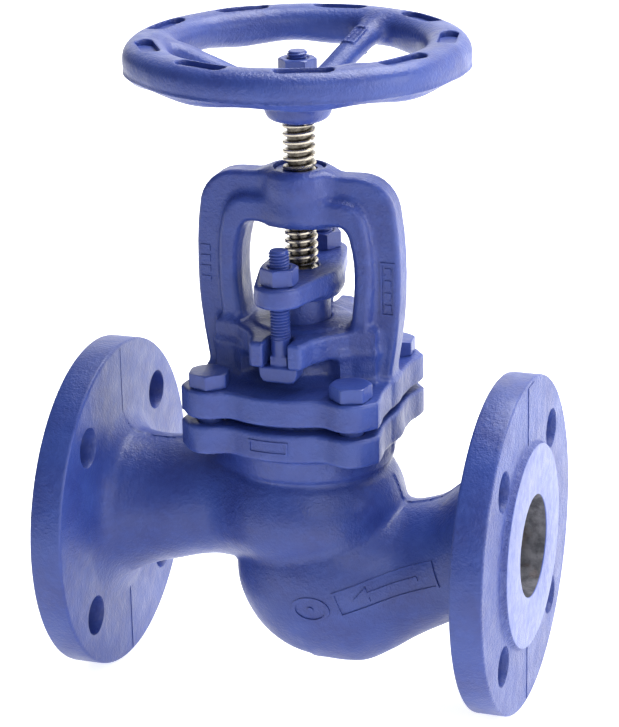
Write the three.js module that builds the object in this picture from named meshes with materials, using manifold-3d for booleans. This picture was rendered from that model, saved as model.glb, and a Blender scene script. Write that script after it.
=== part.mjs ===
// A flanged DN 50 globe valve with a rising handwheel, as an assembly of separate pieces.
// Millimetres, +Z up along the stem, X along the pipe. The origin is the middle of the
// valve's lowest point, under the stem: the pipe axis is half a flange above it.
// The pieces are modelled about the point where the pipe and stem axes cross (z = 0 there).
// The valve is shut: the disc rests on its seat.
import * as THREE from 'three';
import { mergeVertices } from 'three/addons/utils/BufferGeometryUtils.js';
import Module from 'manifold-3d';

// ---- driving dimensions -------------------------------------------------------------
const FACE_TO_FACE = 230;
const BORE_R = 25;
const FLANGE = { r: 82.5, thick: 19, raisedR: 49.5, raised: 3, boltCircleR: 62.5, holeR: 9.5 };

// The square joint between body and bonnet: a round plate with four bolt lobes.
const JOINT = { bolt: 35.36, plateR: 48.5, lobeR: 12, bottom: 48.5, top: 62.5, boltR: 6 };
const BONNET = { bottom: 66, top: 79.5, lobeR: 11.8, spigotR: 40.5, spigotEnd: 61.8 };
const GASKET = { r: 40.5, bore: 35, thick: 2 };

const SEAT = { bore: 23.5, r: 27, lipR: 30, bottom: -14, floor: -6, top: -3 };

// The stem's button turns in the disc, held down by two half rings and the disc nut.
const SWIVEL = { bore: 11.2, floor: 1.2, top: 18, buttonR: 9.5, button: [1.5, 6.5], neckR: 6.2 };
const STEM = { r: 8, coreR: 5.75, pitch: 4, threadFrom: 134, threadTo: 202.6 };
const BUSH = { r: 12.3, threadR: 8.7, crestR: 6.6, bottom: 156, top: 179.2 };
const PACKING = { r: 13.8, bore: 8.3, ring: 5.7, count: 5, washer: 2, bottom: 70, gap: 0.05 };
const STUFFING_R = 14;
const TABLE = { bottom: 92.5, top: 105 };
const LUG = { front: 41, half: 12, slot: 6.2 };
const GLAND = { boltY: 32, earR: 12, hubR: 19.5, noseR: 13.7, nose: 100.7, hub: 118, ear: 122, top: 132 };
const M10 = { r: 5, flats: 16, nut: 8.2 };
const M12 = { flats: 18, head: 7.5, turns: [35, 16, 40, 22] };
const GLAND_BOLT_TOP = 148.5;

const YOKE = { webY: 7, bandY: 12, top: 178, window: 154.5, bossR: 17.2, bossBottom: 153.5 };
const WHEEL = { r: 81.5, rimInner: 59.5, rimBottom: 225.2, rimTop: 243.1, hubBottom: 203.4, hubTop: 222.4,
  square: 12, spokes: 3, spokeAt: 71.5, grips: 9 };
const STEM_TOP = 236;

const ROUND = 40; // sides of the large round parts
const SMALL = 20; // sides of bolts, bores and rings
const THREAD_STEPS = 10; // steps in one turn of the stem's thread
const TO_CORNER = 1 / Math.cos(Math.PI / ROUND); // from a flat's radius to a corner's

// ---- boolean joins and cuts ---------------------------------------------------------
const wasm = await Module();
wasm.setup();

function triangles(geometry) {
  const bare = geometry.clone();
  bare.deleteAttribute('normal');
  bare.deleteAttribute('uv');
  const merged = mergeVertices(bare, 1e-4);
  const index = Array.from(merged.index.array);
  const faces = [];
  for (let i = 0; i < index.length; i += 3) {
    const [a, b, c] = index.slice(i, i + 3);
    if (a !== b && b !== c && c !== a) faces.push([a, b, c]);
  }
  return { position: merged.attributes.position, faces };
}

// Faces point outwards when the signed volume is positive.
function signedVolume(position, faces) {
  const p = [new THREE.Vector3(), new THREE.Vector3(), new THREE.Vector3()];
  return faces.reduce((sum, face) => {
    face.forEach((v, k) => p[k].fromBufferAttribute(position, v));
    return sum + p[0].dot(p[1].clone().cross(p[2])) / 6;
  }, 0);
}

function toSolid(geometry) {
  const { position, faces } = triangles(geometry);
  if (signedVolume(position, faces) < 0) faces.forEach((face) => face.reverse());
  const vertProperties = new Float32Array(position.array);
  const triVerts = new Uint32Array(faces.flat());
  return new wasm.Manifold(new wasm.Mesh({ numProp: 3, vertProperties, triVerts }));
}

function toGeometry(solid) {
  const mesh = solid.getMesh();
  const geometry = new THREE.BufferGeometry();
  geometry.setAttribute('position', new THREE.BufferAttribute(mesh.vertProperties, 3));
  geometry.setIndex(new THREE.BufferAttribute(mesh.triVerts, 1));
  return geometry;
}

const join = (...parts) => toGeometry(parts.map(toSolid).reduce((all, part) => all.add(part)));
const cut = (base, ...tools) =>
  toGeometry(toSolid(base).subtract(tools.map(toSolid).reduce((a, b) => a.add(b))));
const common = (a, b) => toGeometry(toSolid(a).intersect(toSolid(b)));

// ---- shape helpers ------------------------------------------------------------------
const rad = THREE.MathUtils.degToRad;
const range = (n) => Array.from({ length: n }, (_, i) => i);

// A solid of revolution about Z from [radius, height] points.
function turned(points, sides = ROUND) {
  const profile = points.map(([r, z]) => new THREE.Vector2(r, z));
  return new THREE.LatheGeometry(profile, sides).rotateX(Math.PI / 2);
}

const disc = (r, z0, z1, sides = SMALL) => turned([[0, z0], [r, z0], [r, z1], [0, z1]], sides);
const ring = (r, bore, z0, z1, sides = SMALL) =>
  turned([[bore, z0], [r, z0], [r, z1], [bore, z1], [bore, z0]], sides);

// A flat outline pulled up from z0 to z1.
const plate = (shape, z0, z1, curveSegments = 10) =>
  new THREE.ExtrudeGeometry(shape, { depth: z1 - z0, bevelEnabled: false, curveSegments })
    .translate(0, 0, z0);

// An outline drawn in X and Z, pulled the same distance each way along Y.
const upright = (shape, half, curveSegments = 10) =>
  new THREE.ExtrudeGeometry(shape, { depth: 2 * half, bevelEnabled: false, curveSegments })
    .rotateX(Math.PI / 2)
    .translate(0, half, 0);

const box = (x0, x1, y0, y1, z0, z1) =>
  new THREE.BoxGeometry(x1 - x0, y1 - y0, z1 - z0)
    .translate((x0 + x1) / 2, (y0 + y1) / 2, (z0 + z1) / 2);

function polygon(points) {
  return new THREE.Shape(points.map(([x, y]) => new THREE.Vector2(x, y)));
}

function hexagon(flats) {
  const corner = flats / Math.sqrt(3);
  return polygon(range(6).map((i) => [corner * Math.cos(rad(60 * i)), corner * Math.sin(rad(60 * i))]));
}

// A pipe along X through elliptical sections { x, z, ry, rz }.
function pipe(sections, sides = 24) {
  const positions = [];
  const faces = [];
  sections.forEach(({ x, z, ry, rz }) => range(sides).forEach((i) => {
    const a = (2 * Math.PI * i) / sides;
    positions.push(x, ry * Math.cos(a), z + rz * Math.sin(a));
  }));
  const last = sections.length - 1;
  positions.push(sections[0].x, 0, sections[0].z, sections[last].x, 0, sections[last].z);
  const startCap = sections.length * sides;
  range(last).forEach((s) => range(sides).forEach((i) => {
    const [a, b] = [s * sides + i, s * sides + ((i + 1) % sides)];
    faces.push(a, b, b + sides, a, b + sides, a + sides);
  }));
  range(sides).forEach((i) => {
    const next = (i + 1) % sides;
    faces.push(startCap, next, i, startCap + 1, last * sides + i, last * sides + next);
  });
  const geometry = new THREE.BufferGeometry();
  geometry.setAttribute('position', new THREE.Float32BufferAttribute(positions, 3));
  return geometry.setIndex(faces);
}

const section = (x, z, ry, rz = ry) => ({ x, z, ry, rz });

// The trapezoid thread's ridge is half a pitch wide at mid height, with 15 degree flanks.
const ridgeWidth = (r) => STEM.pitch / 2 - 2 * Math.tan(rad(15)) * (r - (STEM.r - STEM.pitch / 4));

// A rod with a right-handed trapezoid thread between the radii core and outer, its ridge
// crossing +X at the height phase and its ends cut flat at z0 and z1. The play widens it.
function threadedRod({ core, outer, play = 0, phase, z0, z1, steps = THREAD_STEPS }) {
  const pitch = STEM.pitch;
  const root = ridgeWidth(core) + 2 * play;
  const crest = ridgeWidth(outer) + 2 * play;
  const below = Math.ceil((phase - z0) / pitch) + 1;
  const turns = below + Math.ceil((z1 - phase) / pitch) + 1;
  const start = phase - below * pitch;
  const corners = [[core, -root / 2], [outer, -crest / 2], [outer, crest / 2], [core, root / 2]];
  const positions = [];
  const faces = [];
  range(turns * steps + 1).forEach((i) => corners.forEach(([r, dz]) => {
    const a = (2 * Math.PI * i) / steps;
    positions.push(r * Math.cos(a), r * Math.sin(a), start + (pitch * i) / steps + dz);
  }));
  const quad = (a, b, c, d) => faces.push(a, b, c, a, c, d);
  range(turns * steps).forEach((i) => range(3).forEach((k) => {
    quad(4 * i + k, 4 * i + k + 4, 4 * i + k + 5, 4 * i + k + 1);
  }));
  range((turns - 1) * steps).forEach((i) => {
    const over = 4 * (i + steps);
    quad(4 * i + 3, 4 * i + 7, over + 4, over);
  });
  // Each end closes with a fan on the axis, outside the part that is kept.
  const low = positions.length / 3;
  const end = 4 * turns * steps;
  positions.push(0, 0, start, 0, 0, start + turns * pitch);
  range(steps).forEach((i) => faces.push(low, 4 * (i + 1), 4 * i));
  faces.push(low, 0, 1, low, 1, 2, low, 2, 3, low, 3, 4 * steps);
  range(steps).forEach((i) => {
    const from = end - 4 * steps + 4 * i + 3;
    faces.push(low + 1, from, from + 4);
  });
  const last = end - 4 * steps + 3;
  faces.push(low + 1, end + 3, end + 2, low + 1, end + 2, end + 1, low + 1, end + 1, end, low + 1, end, last);
  const geometry = new THREE.BufferGeometry();
  geometry.setAttribute('position', new THREE.Float32BufferAttribute(positions, 3));
  geometry.setIndex(faces);
  return common(geometry, disc(outer + 5, z0, z1, 4));
}

// ---- pipe flanges -------------------------------------------------------------------
// The flange on the +X end, turned about X with a flat underneath; the -X one is its twin.
function flange() {
  const face = FACE_TO_FACE / 2;
  const back = face - FLANGE.thick;
  const rim = FLANGE.r * TO_CORNER;
  return turned([
    [0, back], [rim - 1.5, back], [rim, back + 1.5], [rim, face - FLANGE.raised],
    [FLANGE.raisedR + 0.5, face - FLANGE.raised], [FLANGE.raisedR, face], [0, face],
  ]).rotateZ(rad(180 / ROUND)).rotateY(Math.PI / 2);
}

function flangeHoles(side) {
  const face = FACE_TO_FACE / 2;
  return range(4).map((i) => {
    const hole = disc(FLANGE.holeR, face - FLANGE.thick - 5, face + 5, 16).rotateY(Math.PI / 2);
    const a = rad(45 + 90 * i);
    hole.translate(0, FLANGE.boltCircleR * Math.cos(a), FLANGE.boltCircleR * Math.sin(a));
    return side > 0 ? hole : hole.rotateZ(Math.PI);
  });
}

// ---- body ---------------------------------------------------------------------------
const CORNERS = [[1, 1], [-1, 1], [-1, -1], [1, -1]];

const atCorners = (r, z0, z1, sides) => CORNERS.map(([sx, sy]) =>
  disc(r, z0, z1, sides).translate(sx * JOINT.bolt, sy * JOINT.bolt, 0));

const jointHoles = (r, z0, z1) => atCorners(r, z0, z1, 14);

// A round plate with a lobe under each bolt of the joint and straight sides along Y.
const lobed = (plateR, lobeR, z0, z1) => join(
  disc(plateR, z0, z1, ROUND),
  box(-JOINT.bolt - lobeR, JOINT.bolt + lobeR, -JOINT.bolt, JOINT.bolt, z0, z1),
  ...atCorners(lobeR, z0, z1, SMALL),
);

// Outside: the chamber under the bonnet, the bowl under the seat, and the two necks.
function bodyOutside() {
  const chamber = turned([
    [0, -16], [29, -16], [40.5, -6], [45.6, 3], [47, 13], [44.8, 23], [41.4, 30], [39.8, 34.5], [41, 38.5],
    [41.8, 44], [44.5, JOINT.bottom + 1], [0, JOINT.bottom + 1],
  ], 32).translate(2.5, 0, 0);
  const bowl = new THREE.SphereGeometry(1, 24, 12).rotateX(Math.PI / 2)
    .scale(47, 45, 47).translate(12, 0, -20);
  const leftNeck = pipe([
    section(-97, 0, 43), section(-92.5, 1, 38.4), section(-84.5, 2.4, 34.4), section(-76.5, 3.8, 32.4),
    section(-64, 6, 31), section(-52, 8.4, 30.5, 30), section(-42, 10, 31, 30), section(-34, 10.5, 32, 30.5),
    section(-10, 10.5, 34, 32),
  ]);
  const rightNeck = pipe([
    section(10, -24, 42), section(31.6, -27.3, 40), section(47, -22.4, 36, 37.2),
    section(60, -17.2, 32.5, 34), section(71.5, -11.5, 32.4, 33), section(78, -7, 33.8, 34.4),
    section(87, -3, 37.6), section(97, 0, 43),
  ]);
  const right = flange();
  const left = flange().rotateZ(Math.PI);
  const top = lobed(JOINT.plateR, JOINT.lobeR, JOINT.bottom, JOINT.top);
  return join(chamber, bowl, leftNeck, rightNeck, left, right, top);
}

// Inside: the inlet passage drops under the seat, the outlet passage leaves above it.
function bodyInside() {
  const end = FACE_TO_FACE / 2 + 5;
  const inlet = pipe([
    section(end, 0, BORE_R), section(96, 0, BORE_R), section(80, -6.5, 26, 26.5),
    section(66, -14, 25.5, 26.5), section(53, -21.5, 26, 27.5), section(44, -32, 28, 21),
    section(34, -35, 31, 20.5),
  ]);
  const underSeat = common(
    new THREE.SphereGeometry(1, 24, 12).rotateX(Math.PI / 2).scale(36.5, 36.5, 39.5).translate(10, 0, -21),
    box(-60, 60, -60, 60, -80, SEAT.bottom),
  );
  const throat = disc(SEAT.r + 0.15, SEAT.bottom - 1, SEAT.floor + 1, ROUND);
  const chamber = turned([
    [0, SEAT.floor], [35, SEAT.floor], [39, -1], [41, 8], [40.5, 16], [38, 24], [34.5, 32],
    [34, 40], [34, JOINT.top + 1], [0, JOINT.top + 1],
  ], 32).translate(0.5, 0, 0);
  const outlet = pipe([
    section(-end, 0, BORE_R), section(-96, 0, BORE_R), section(-76, 3.5, 25, 25.2),
    section(-62, 6, 24.3), section(-48, 8.5, 23.2), section(-34, 13, 22.5, 18.8),
    section(-15, 13, 22.5, 18.8),
  ]);
  const recess = disc(GASKET.r + 0.4, JOINT.top - 3, JOINT.top + 1, ROUND);
  return [inlet, underSeat, throat, chamber, outlet, recess];
}

function valveBody() {
  return cut(bodyOutside(), ...bodyInside(), ...flangeHoles(1), ...flangeHoles(-1),
    ...jointHoles(JOINT.boltR + 0.3, JOINT.bottom - 1, JOINT.top + 1));
}

function seatRing() {
  const { bore, r, lipR, bottom, floor, top } = SEAT;
  return turned([
    [bore, bottom], [r, bottom], [r, floor + 0.1], [lipR, floor + 0.1], [lipR, top - 0.5],
    [lipR - 0.5, top], [bore + 3, top], [bore, top - 3], [bore, bottom],
  ]);
}

// ---- disc and its swivel ------------------------------------------------------------
// The cone stands 0.3 mm off the seat's cone.
function valveDisc() {
  const lift = 0.45;
  const cone = SEAT.top + lift;
  return turned([
    [0, -9], [20, -9], [22.4, -7.5], [SEAT.bore - 0.6, cone - 3.6], [SEAT.bore + 3, cone],
    [29, cone + 1], [29, 5], [26, 8], [15, 9.5], [14.5, 10.5], [14.5, SWIVEL.top],
    [SWIVEL.bore, SWIVEL.top], [SWIVEL.bore, SWIVEL.floor], [0, SWIVEL.floor],
  ]);
}

// Two half rings close round the stem's neck, above its button.
function splitRing(side) {
  const whole = ring(10.9, SWIVEL.neckR + 0.4, 6.9, 9.8, SMALL);
  const half = box(-20, 20, side > 0 ? 0.15 : -20, side > 0 ? 20 : -0.15, 0, 20);
  return common(whole, half);
}

function discNut() {
  const thread = disc(10.9, 10, SWIVEL.top + 0.6, SMALL);
  const head = plate(hexagon(25), SWIVEL.top + 0.3, SWIVEL.top + 4.5);
  return cut(join(thread, head), disc(9.8, 0, 30, SMALL));
}

// ---- stem ---------------------------------------------------------------------------
function stem() {
  const { r, coreR, threadFrom, threadTo } = STEM;
  const { buttonR, button, neckR } = SWIVEL;
  const collar = { r: 11.5, bottom: 30, top: 36, cone: 39.5 }; // meets the backseat when open
  const pegR = coreR - 1; // joins the plain parts inside the threaded one
  const shaft = turned([
    [0, button[0]], [buttonR - 1, button[0]], [buttonR, button[0] + 1], [buttonR, button[1]],
    [neckR, button[1]], [neckR, 22], [r, 24], [r, collar.bottom], [collar.r, collar.bottom],
    [collar.r, collar.top], [r, collar.cone], [r, threadFrom - 3], [coreR, threadFrom - 1.2],
    [coreR, threadFrom], [pegR, threadFrom], [pegR, threadFrom + 4], [0, threadFrom + 4],
  ]);
  const half = WHEEL.square / 2 - 0.3;
  const square = common(
    box(-half, half, -half, half, threadTo, WHEEL.hubTop - 0.6),
    disc(r, threadTo - 1, WHEEL.hubTop + 1),
  );
  const stub = turned([[0, threadTo - 4], [pegR, threadTo - 4], [pegR, STEM_TOP - 1],
    [pegR - 1, STEM_TOP], [0, STEM_TOP]], 16);
  const thread = threadedRod({ core: coreR, outer: r, phase: threadFrom, z0: threadFrom, z1: threadTo });
  return join(shaft, thread, square, stub);
}

// The bush's thread is the stem's, with play on every side.
function yokeBush() {
  const blank = turned([
    [0, BUSH.bottom], [BUSH.r, BUSH.bottom], [BUSH.r, BUSH.top - 1], [BUSH.r - 1, BUSH.top], [0, BUSH.top],
  ]);
  return cut(blank, threadedRod({
    core: BUSH.crestR, outer: BUSH.threadR, play: 0.35, phase: STEM.threadFrom,
    z0: BUSH.bottom - 2, z1: BUSH.top + 2,
  }));
}

// ---- bonnet and yoke ----------------------------------------------------------------
// Half outlines of the yoke in X and Z, on the +X side, from the bottom up.
const mirrored = (points) => points.map(([x, z]) => [-x, z]).reverse();

function closedArch(side, corner) {
  const curve = new THREE.SplineCurve(side.map(([x, z]) => new THREE.Vector2(x, z))).getPoints(10);
  const [x, z] = side[side.length - 1];
  const bend = new THREE.CubicBezierCurve(
    new THREE.Vector2(x, z), new THREE.Vector2(x - corner.pull[0], z + corner.rise),
    new THREE.Vector2(corner.x + corner.pull[1], corner.z), new THREE.Vector2(corner.x, corner.z),
  ).getPoints(7);
  const half = [...curve, ...bend.slice(1)].map((p) => [p.x, p.y]);
  return polygon([...half, ...mirrored(half)]);
}

function yokeOutline() {
  const side = [[45, BONNET.top - 1], [49, 100], [51, 128], [50.2, 150], [48.6, 163]];
  return closedArch(side, { x: 30, z: YOKE.top, pull: [2, 9], rise: 9 });
}

function yokeStep() {
  const side = [[33, BONNET.top - 1], [36.6, 104], [38.5, 130], [37.8, 146], [35.8, 156]];
  return closedArch(side, { x: 24, z: 167, pull: [2, 6], rise: 7 });
}

function yokeWindow() {
  const side = [[27, TABLE.top], [29, 118], [29.5, 132], [28.6, 142], [27.2, 148.5]];
  return closedArch(side, { x: 21.5, z: YOKE.window, pull: [1, 2.5], rise: 4 });
}

// The table carries the two pairs of lugs; each pair holds a gland bolt in its slot.
function table() {
  const quarter = [[40, 12], [33, 12.6], [28, 15.5], [20, 23.5], [15.5, 31], [13, LUG.front - 1],
    [LUG.half, LUG.front]];
  const foot = [[40, 12], [30, 15.5], [25, 19.5], [18, 15]];
  const fourfold = (points) => {
    const back = [...points, ...mirrored(points)];
    return polygon([...back, ...back.map(([x, y]) => [x, -y]).reverse()]);
  };
  return [
    plate(fourfold(quarter), TABLE.bottom, TABLE.top),
    plate(fourfold(foot), BONNET.top - 1, TABLE.bottom + 1),
  ];
}

function lugSlots() {
  return [1, -1].flatMap((side) => [
    disc(LUG.slot, TABLE.bottom - 5, TABLE.top + 5, SMALL).translate(0, side * GLAND.boltY, 0),
    box(-LUG.slot, LUG.slot, side > 0 ? GLAND.boltY : -60, side > 0 ? 60 : -GLAND.boltY,
      TABLE.bottom - 5, TABLE.top + 5),
  ]);
}

function bonnetYoke() {
  const flangePlate = lobed(JOINT.plateR - 0.5, BONNET.lobeR, BONNET.bottom, BONNET.top);
  const spigot = disc(BONNET.spigotR, BONNET.spigotEnd, BONNET.bottom + 1, ROUND);
  const tower = turned([
    [0, BONNET.top - 1], [27, BONNET.top - 1], [23, BONNET.top + 3.5], [22, BONNET.top + 6],
    [22, TABLE.top], [0, TABLE.top],
  ]);
  const boss = turned([
    [0, YOKE.bossBottom], [15.6, YOKE.bossBottom], [YOKE.bossR, 155.5], [YOKE.bossR + 0.3, 175.5],
    [15.8, 179.2], [14, 180.5], [0, 180.5],
  ]);
  const window = upright(yokeWindow(), 30);
  const web = cut(upright(yokeOutline(), YOKE.webY), window);
  const band = cut(upright(yokeStep(), YOKE.bandY), window);
  const casting = join(flangePlate, spigot, tower, ...table(), web, band, boss);
  return cut(casting,
    disc(13.2, BONNET.spigotEnd - 1, 66.3, SMALL),
    disc(8.7, 60, PACKING.bottom + 1, SMALL),
    disc(STUFFING_R, PACKING.bottom, TABLE.top + 5, SMALL),
    disc(9.4, 150, BUSH.bottom, SMALL),
    disc(BUSH.r + 0.3, BUSH.bottom - 0.1, 190),
    ...jointHoles(JOINT.boltR + 0.75, BONNET.bottom - 1, BONNET.top + 1),
    ...lugSlots());
}

function backseatBush() {
  return turned([
    [11.9, 56.3], [16, 56.3], [16, 61.5], [13, 61.5], [13, 66.1], [8.4, 66.1], [8.4, 59.9], [11.9, 56.3],
  ], SMALL);
}

function bonnetGasket() {
  const floor = JOINT.top - 3 + 0.1;
  return ring(GASKET.r, GASKET.bore, floor, floor + GASKET.thick, ROUND);
}

// A hexagon head screw: head on the bonnet flange, shank down into the body's thread.
function bonnetBolt(i) {
  const headTop = BONNET.top + M12.head;
  const head = plate(hexagon(M12.flats), BONNET.top + 0.05, headTop);
  const chamfer = turned([[0, BONNET.top - 2], [12, BONNET.top - 2], [12, headTop - 1],
    [9.2, headTop], [0, headTop]], SMALL);
  const shank = turned([[0, JOINT.bottom + 1], [JOINT.boltR - 1, JOINT.bottom + 1],
    [JOINT.boltR, JOINT.bottom + 2], [JOINT.boltR, BONNET.top + 1], [0, BONNET.top + 1]], 16);
  const [sx, sy] = CORNERS[i];
  return join(common(head, chamfer), shank).rotateZ(rad(M12.turns[i]))
    .translate(sx * JOINT.bolt, sy * JOINT.bolt, 0);
}

// ---- gland --------------------------------------------------------------------------
function packingWasher() {
  return ring(PACKING.r, STEM.r + 0.3, PACKING.bottom + 0.1, PACKING.bottom + PACKING.washer, SMALL);
}

function packingRing(i) {
  const z0 = PACKING.bottom + PACKING.washer + PACKING.gap + i * PACKING.ring;
  return ring(PACKING.r, PACKING.bore, z0, z0 + PACKING.ring - PACKING.gap, SMALL);
}

function glandFollower() {
  const { boltY, earR, hubR, noseR, nose, hub, ear, top } = GLAND;
  const outline = polygon([
    ...range(9).map((i) => [earR * Math.cos(rad(10 + 20 * i)), boltY + earR * Math.sin(rad(10 + 20 * i))]),
    [-(hubR - 1.2), 9], [-hubR, 0], [-(hubR - 1.2), -9],
    ...range(9).map((i) => [-earR * Math.cos(rad(10 + 20 * i)), -boltY - earR * Math.sin(rad(10 + 20 * i))]),
    [hubR - 1.2, -9], [hubR, 0], [hubR - 1.2, 9],
  ]);
  const ears = plate(outline, ear, top);
  const boss = turned([[0, hub], [hubR - 2, hub], [hubR - 1, hub + 1], [hubR - 0.2, ear + 1],
    [0, ear + 1]], SMALL);
  const sleeve = turned([[0, nose], [noseR - 0.6, nose], [noseR, nose + 1], [noseR, hub + 1], [0, hub + 1]],
    SMALL);
  const holes = [1, -1].map((side) => disc(M10.r + 0.7, hub, top + 5, SMALL).translate(0, side * boltY, 0));
  return cut(join(ears, boss, sleeve), disc(STEM.r + 0.4, nose - 5, top + 5, SMALL), ...holes);
}

// A hammer-head bolt: the head hooks under a pair of lugs, the square neck fills their slot.
function glandBolt(side) {
  const head = new THREE.Shape();
  head.moveTo(-9.5, TABLE.bottom - 0.3);
  head.lineTo(-9.5, TABLE.bottom - 3.5);
  head.quadraticCurveTo(-8.6, TABLE.bottom - 8, -4.5, TABLE.bottom - 8.2);
  head.lineTo(4.5, TABLE.bottom - 8.2);
  head.quadraticCurveTo(8.6, TABLE.bottom - 8, 9.5, TABLE.bottom - 3.5);
  head.lineTo(9.5, TABLE.bottom - 0.3);
  const neck = box(-4, 4, -4, 4, TABLE.bottom - 1, TABLE.bottom + 5);
  const shank = turned([[0, TABLE.bottom], [M10.r - 0.2, TABLE.bottom], [M10.r - 0.2, GLAND_BOLT_TOP - 1],
    [M10.r - 1.2, GLAND_BOLT_TOP], [0, GLAND_BOLT_TOP]], 20);
  return join(upright(head, 5.5, 5), neck, shank).translate(0, side * GLAND.boltY, 0);
}

function m10Nut(z0, turn) {
  const body = plate(hexagon(M10.flats), z0, z0 + M10.nut);
  const chamfer = turned([[0, z0 - 0.1], [8.4, z0 - 0.1], [9.4, z0 + 0.9], [9.4, z0 + M10.nut - 0.9],
    [8.2, z0 + M10.nut], [0, z0 + M10.nut]], SMALL);
  return cut(common(body, chamfer), disc(M10.r + 0.15, z0 - 5, z0 + 15, 20)).rotateZ(rad(turn));
}

// ---- handwheel ----------------------------------------------------------------------
function wheelRim() {
  const half = (WHEEL.r - WHEEL.rimInner) / 2;
  const tall = (WHEEL.rimTop - WHEEL.rimBottom) / 2;
  const squareness = 2.6; // a superellipse between an oval and a rectangle
  const power = (v) => Math.sign(v) * Math.abs(v) ** (2 / squareness);
  const corners = 12;
  const profile = range(corners + 1).map((i) => {
    const a = (2 * Math.PI * (i % corners)) / corners;
    return [WHEEL.r - half + half * power(Math.cos(a)), WHEEL.rimBottom + tall + tall * power(Math.sin(a))];
  });
  return turned(profile, 45);
}

// A grip pocket sunk into the top of the rim.
function gripPocket(i) {
  const pocket = new THREE.Shape();
  const [length, width] = [9.3, 4];
  pocket.moveTo(-width, -length);
  pocket.absarc(0, -length, width, Math.PI, 2 * Math.PI, false);
  pocket.lineTo(width, length);
  pocket.absarc(0, length, width, 0, Math.PI, false);
  const at = rad(WHEEL.spokeAt - 60 + (360 / WHEEL.grips) * i);
  const middle = (WHEEL.r + WHEEL.rimInner) / 2;
  return plate(pocket, WHEEL.rimTop - 2.8, WHEEL.rimTop + 3, 4).translate(middle, 0, 0).rotateZ(at);
}

function spoke(i) {
  const sections = [
    section(6, 213.2, 7.5, 6.3), section(20, 218.2, 6.4, 5.6), section(40, 227.2, 6.3, 5.4),
    section(56, 233.6, 7, 5.6), section(66, 235, 7.5, 5.4),
  ];
  return pipe(sections, 14).rotateZ(rad(WHEEL.spokeAt + (360 / WHEEL.spokes) * i));
}

function handwheel() {
  const hub = turned([
    [0, WHEEL.hubBottom], [13.6, WHEEL.hubBottom], [14.8, WHEEL.hubBottom + 1.5], [16.4, 211], [17, 215],
    [15.5, 220], [13.5, WHEEL.hubTop], [0, WHEEL.hubTop],
  ]);
  const half = WHEEL.square / 2;
  const socket = box(-half, half, -half, half, WHEEL.hubBottom - 5, WHEEL.hubTop + 5);
  const casting = join(wheelRim(), hub, ...range(WHEEL.spokes).map(spoke));
  return cut(casting, socket, ...range(WHEEL.grips).map(gripPocket));
}

const wheelWasher = () => ring(10.5, M10.r + 0.3, WHEEL.hubTop + 0.1, WHEEL.hubTop + 2, SMALL);

// ---- materials and assembly ---------------------------------------------------------
const material = (color, roughness, metalness) =>
  new THREE.MeshStandardMaterial({ color, roughness, metalness });
const paint = () => material(0x3d4da0, 0.42, 0.1);
const steel = () => material(0x9c978a, 0.3, 0.95);
const brass = () => material(0xb08d4a, 0.35, 0.9);
const graphite = () => material(0x2b2b2e, 0.8, 0.1);

const valve = new THREE.Group();
valve.position.z = FLANGE.r;

function add(name, geometry, surface) {
  const mesh = new THREE.Mesh(geometry, surface);
  mesh.name = name;
  valve.add(mesh);
  return mesh;
}

add('valve_body', valveBody(), paint());
add('seat_ring', seatRing(), steel());
add('valve_disc', valveDisc(), steel());
add('split_ring_back', splitRing(1), steel());
add('split_ring_front', splitRing(-1), steel());
add('disc_nut', discNut(), steel());
add('stem', stem(), steel());
add('bonnet_gasket', bonnetGasket(), graphite());
add('bonnet_yoke', bonnetYoke(), paint());
add('backseat_bush', backseatBush(), steel());
add('yoke_bush', yokeBush(), brass());
range(4).forEach((i) => add(`bonnet_bolt_${i + 1}`, bonnetBolt(i), paint()));
add('packing_washer', packingWasher(), steel());
range(PACKING.count).forEach((i) => add(`packing_ring_${i + 1}`, packingRing(i), graphite()));
add('gland_follower', glandFollower(), paint());
add('gland_bolt_front', glandBolt(-1), paint());
add('gland_bolt_back', glandBolt(1), paint());
add('gland_nut_front', m10Nut(GLAND.top + 0.1, 30), paint()).position.y = -GLAND.boltY;
add('gland_nut_back', m10Nut(GLAND.top + 0.1, 2), paint()).position.y = GLAND.boltY;
add('handwheel', handwheel(), paint());
add('handwheel_washer', wheelWasher(), paint());
add('handwheel_nut', m10Nut(WHEEL.hubTop + 2.1, 12), paint());

export default valve;
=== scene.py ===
"""Looks of a flanged globe valve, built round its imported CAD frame.

Shapes are written in millimetres about the point where the pipe and stem axes cross, and
placed in metres by AXIS_HEIGHT. A casting is a signed distance field, negative inside, that
is turned into a mesh by dual contouring, so that its fillets and edges have real geometry.
"""

import math

import bmesh
import bpy
import numpy as np
from mathutils import Matrix, Vector


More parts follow.
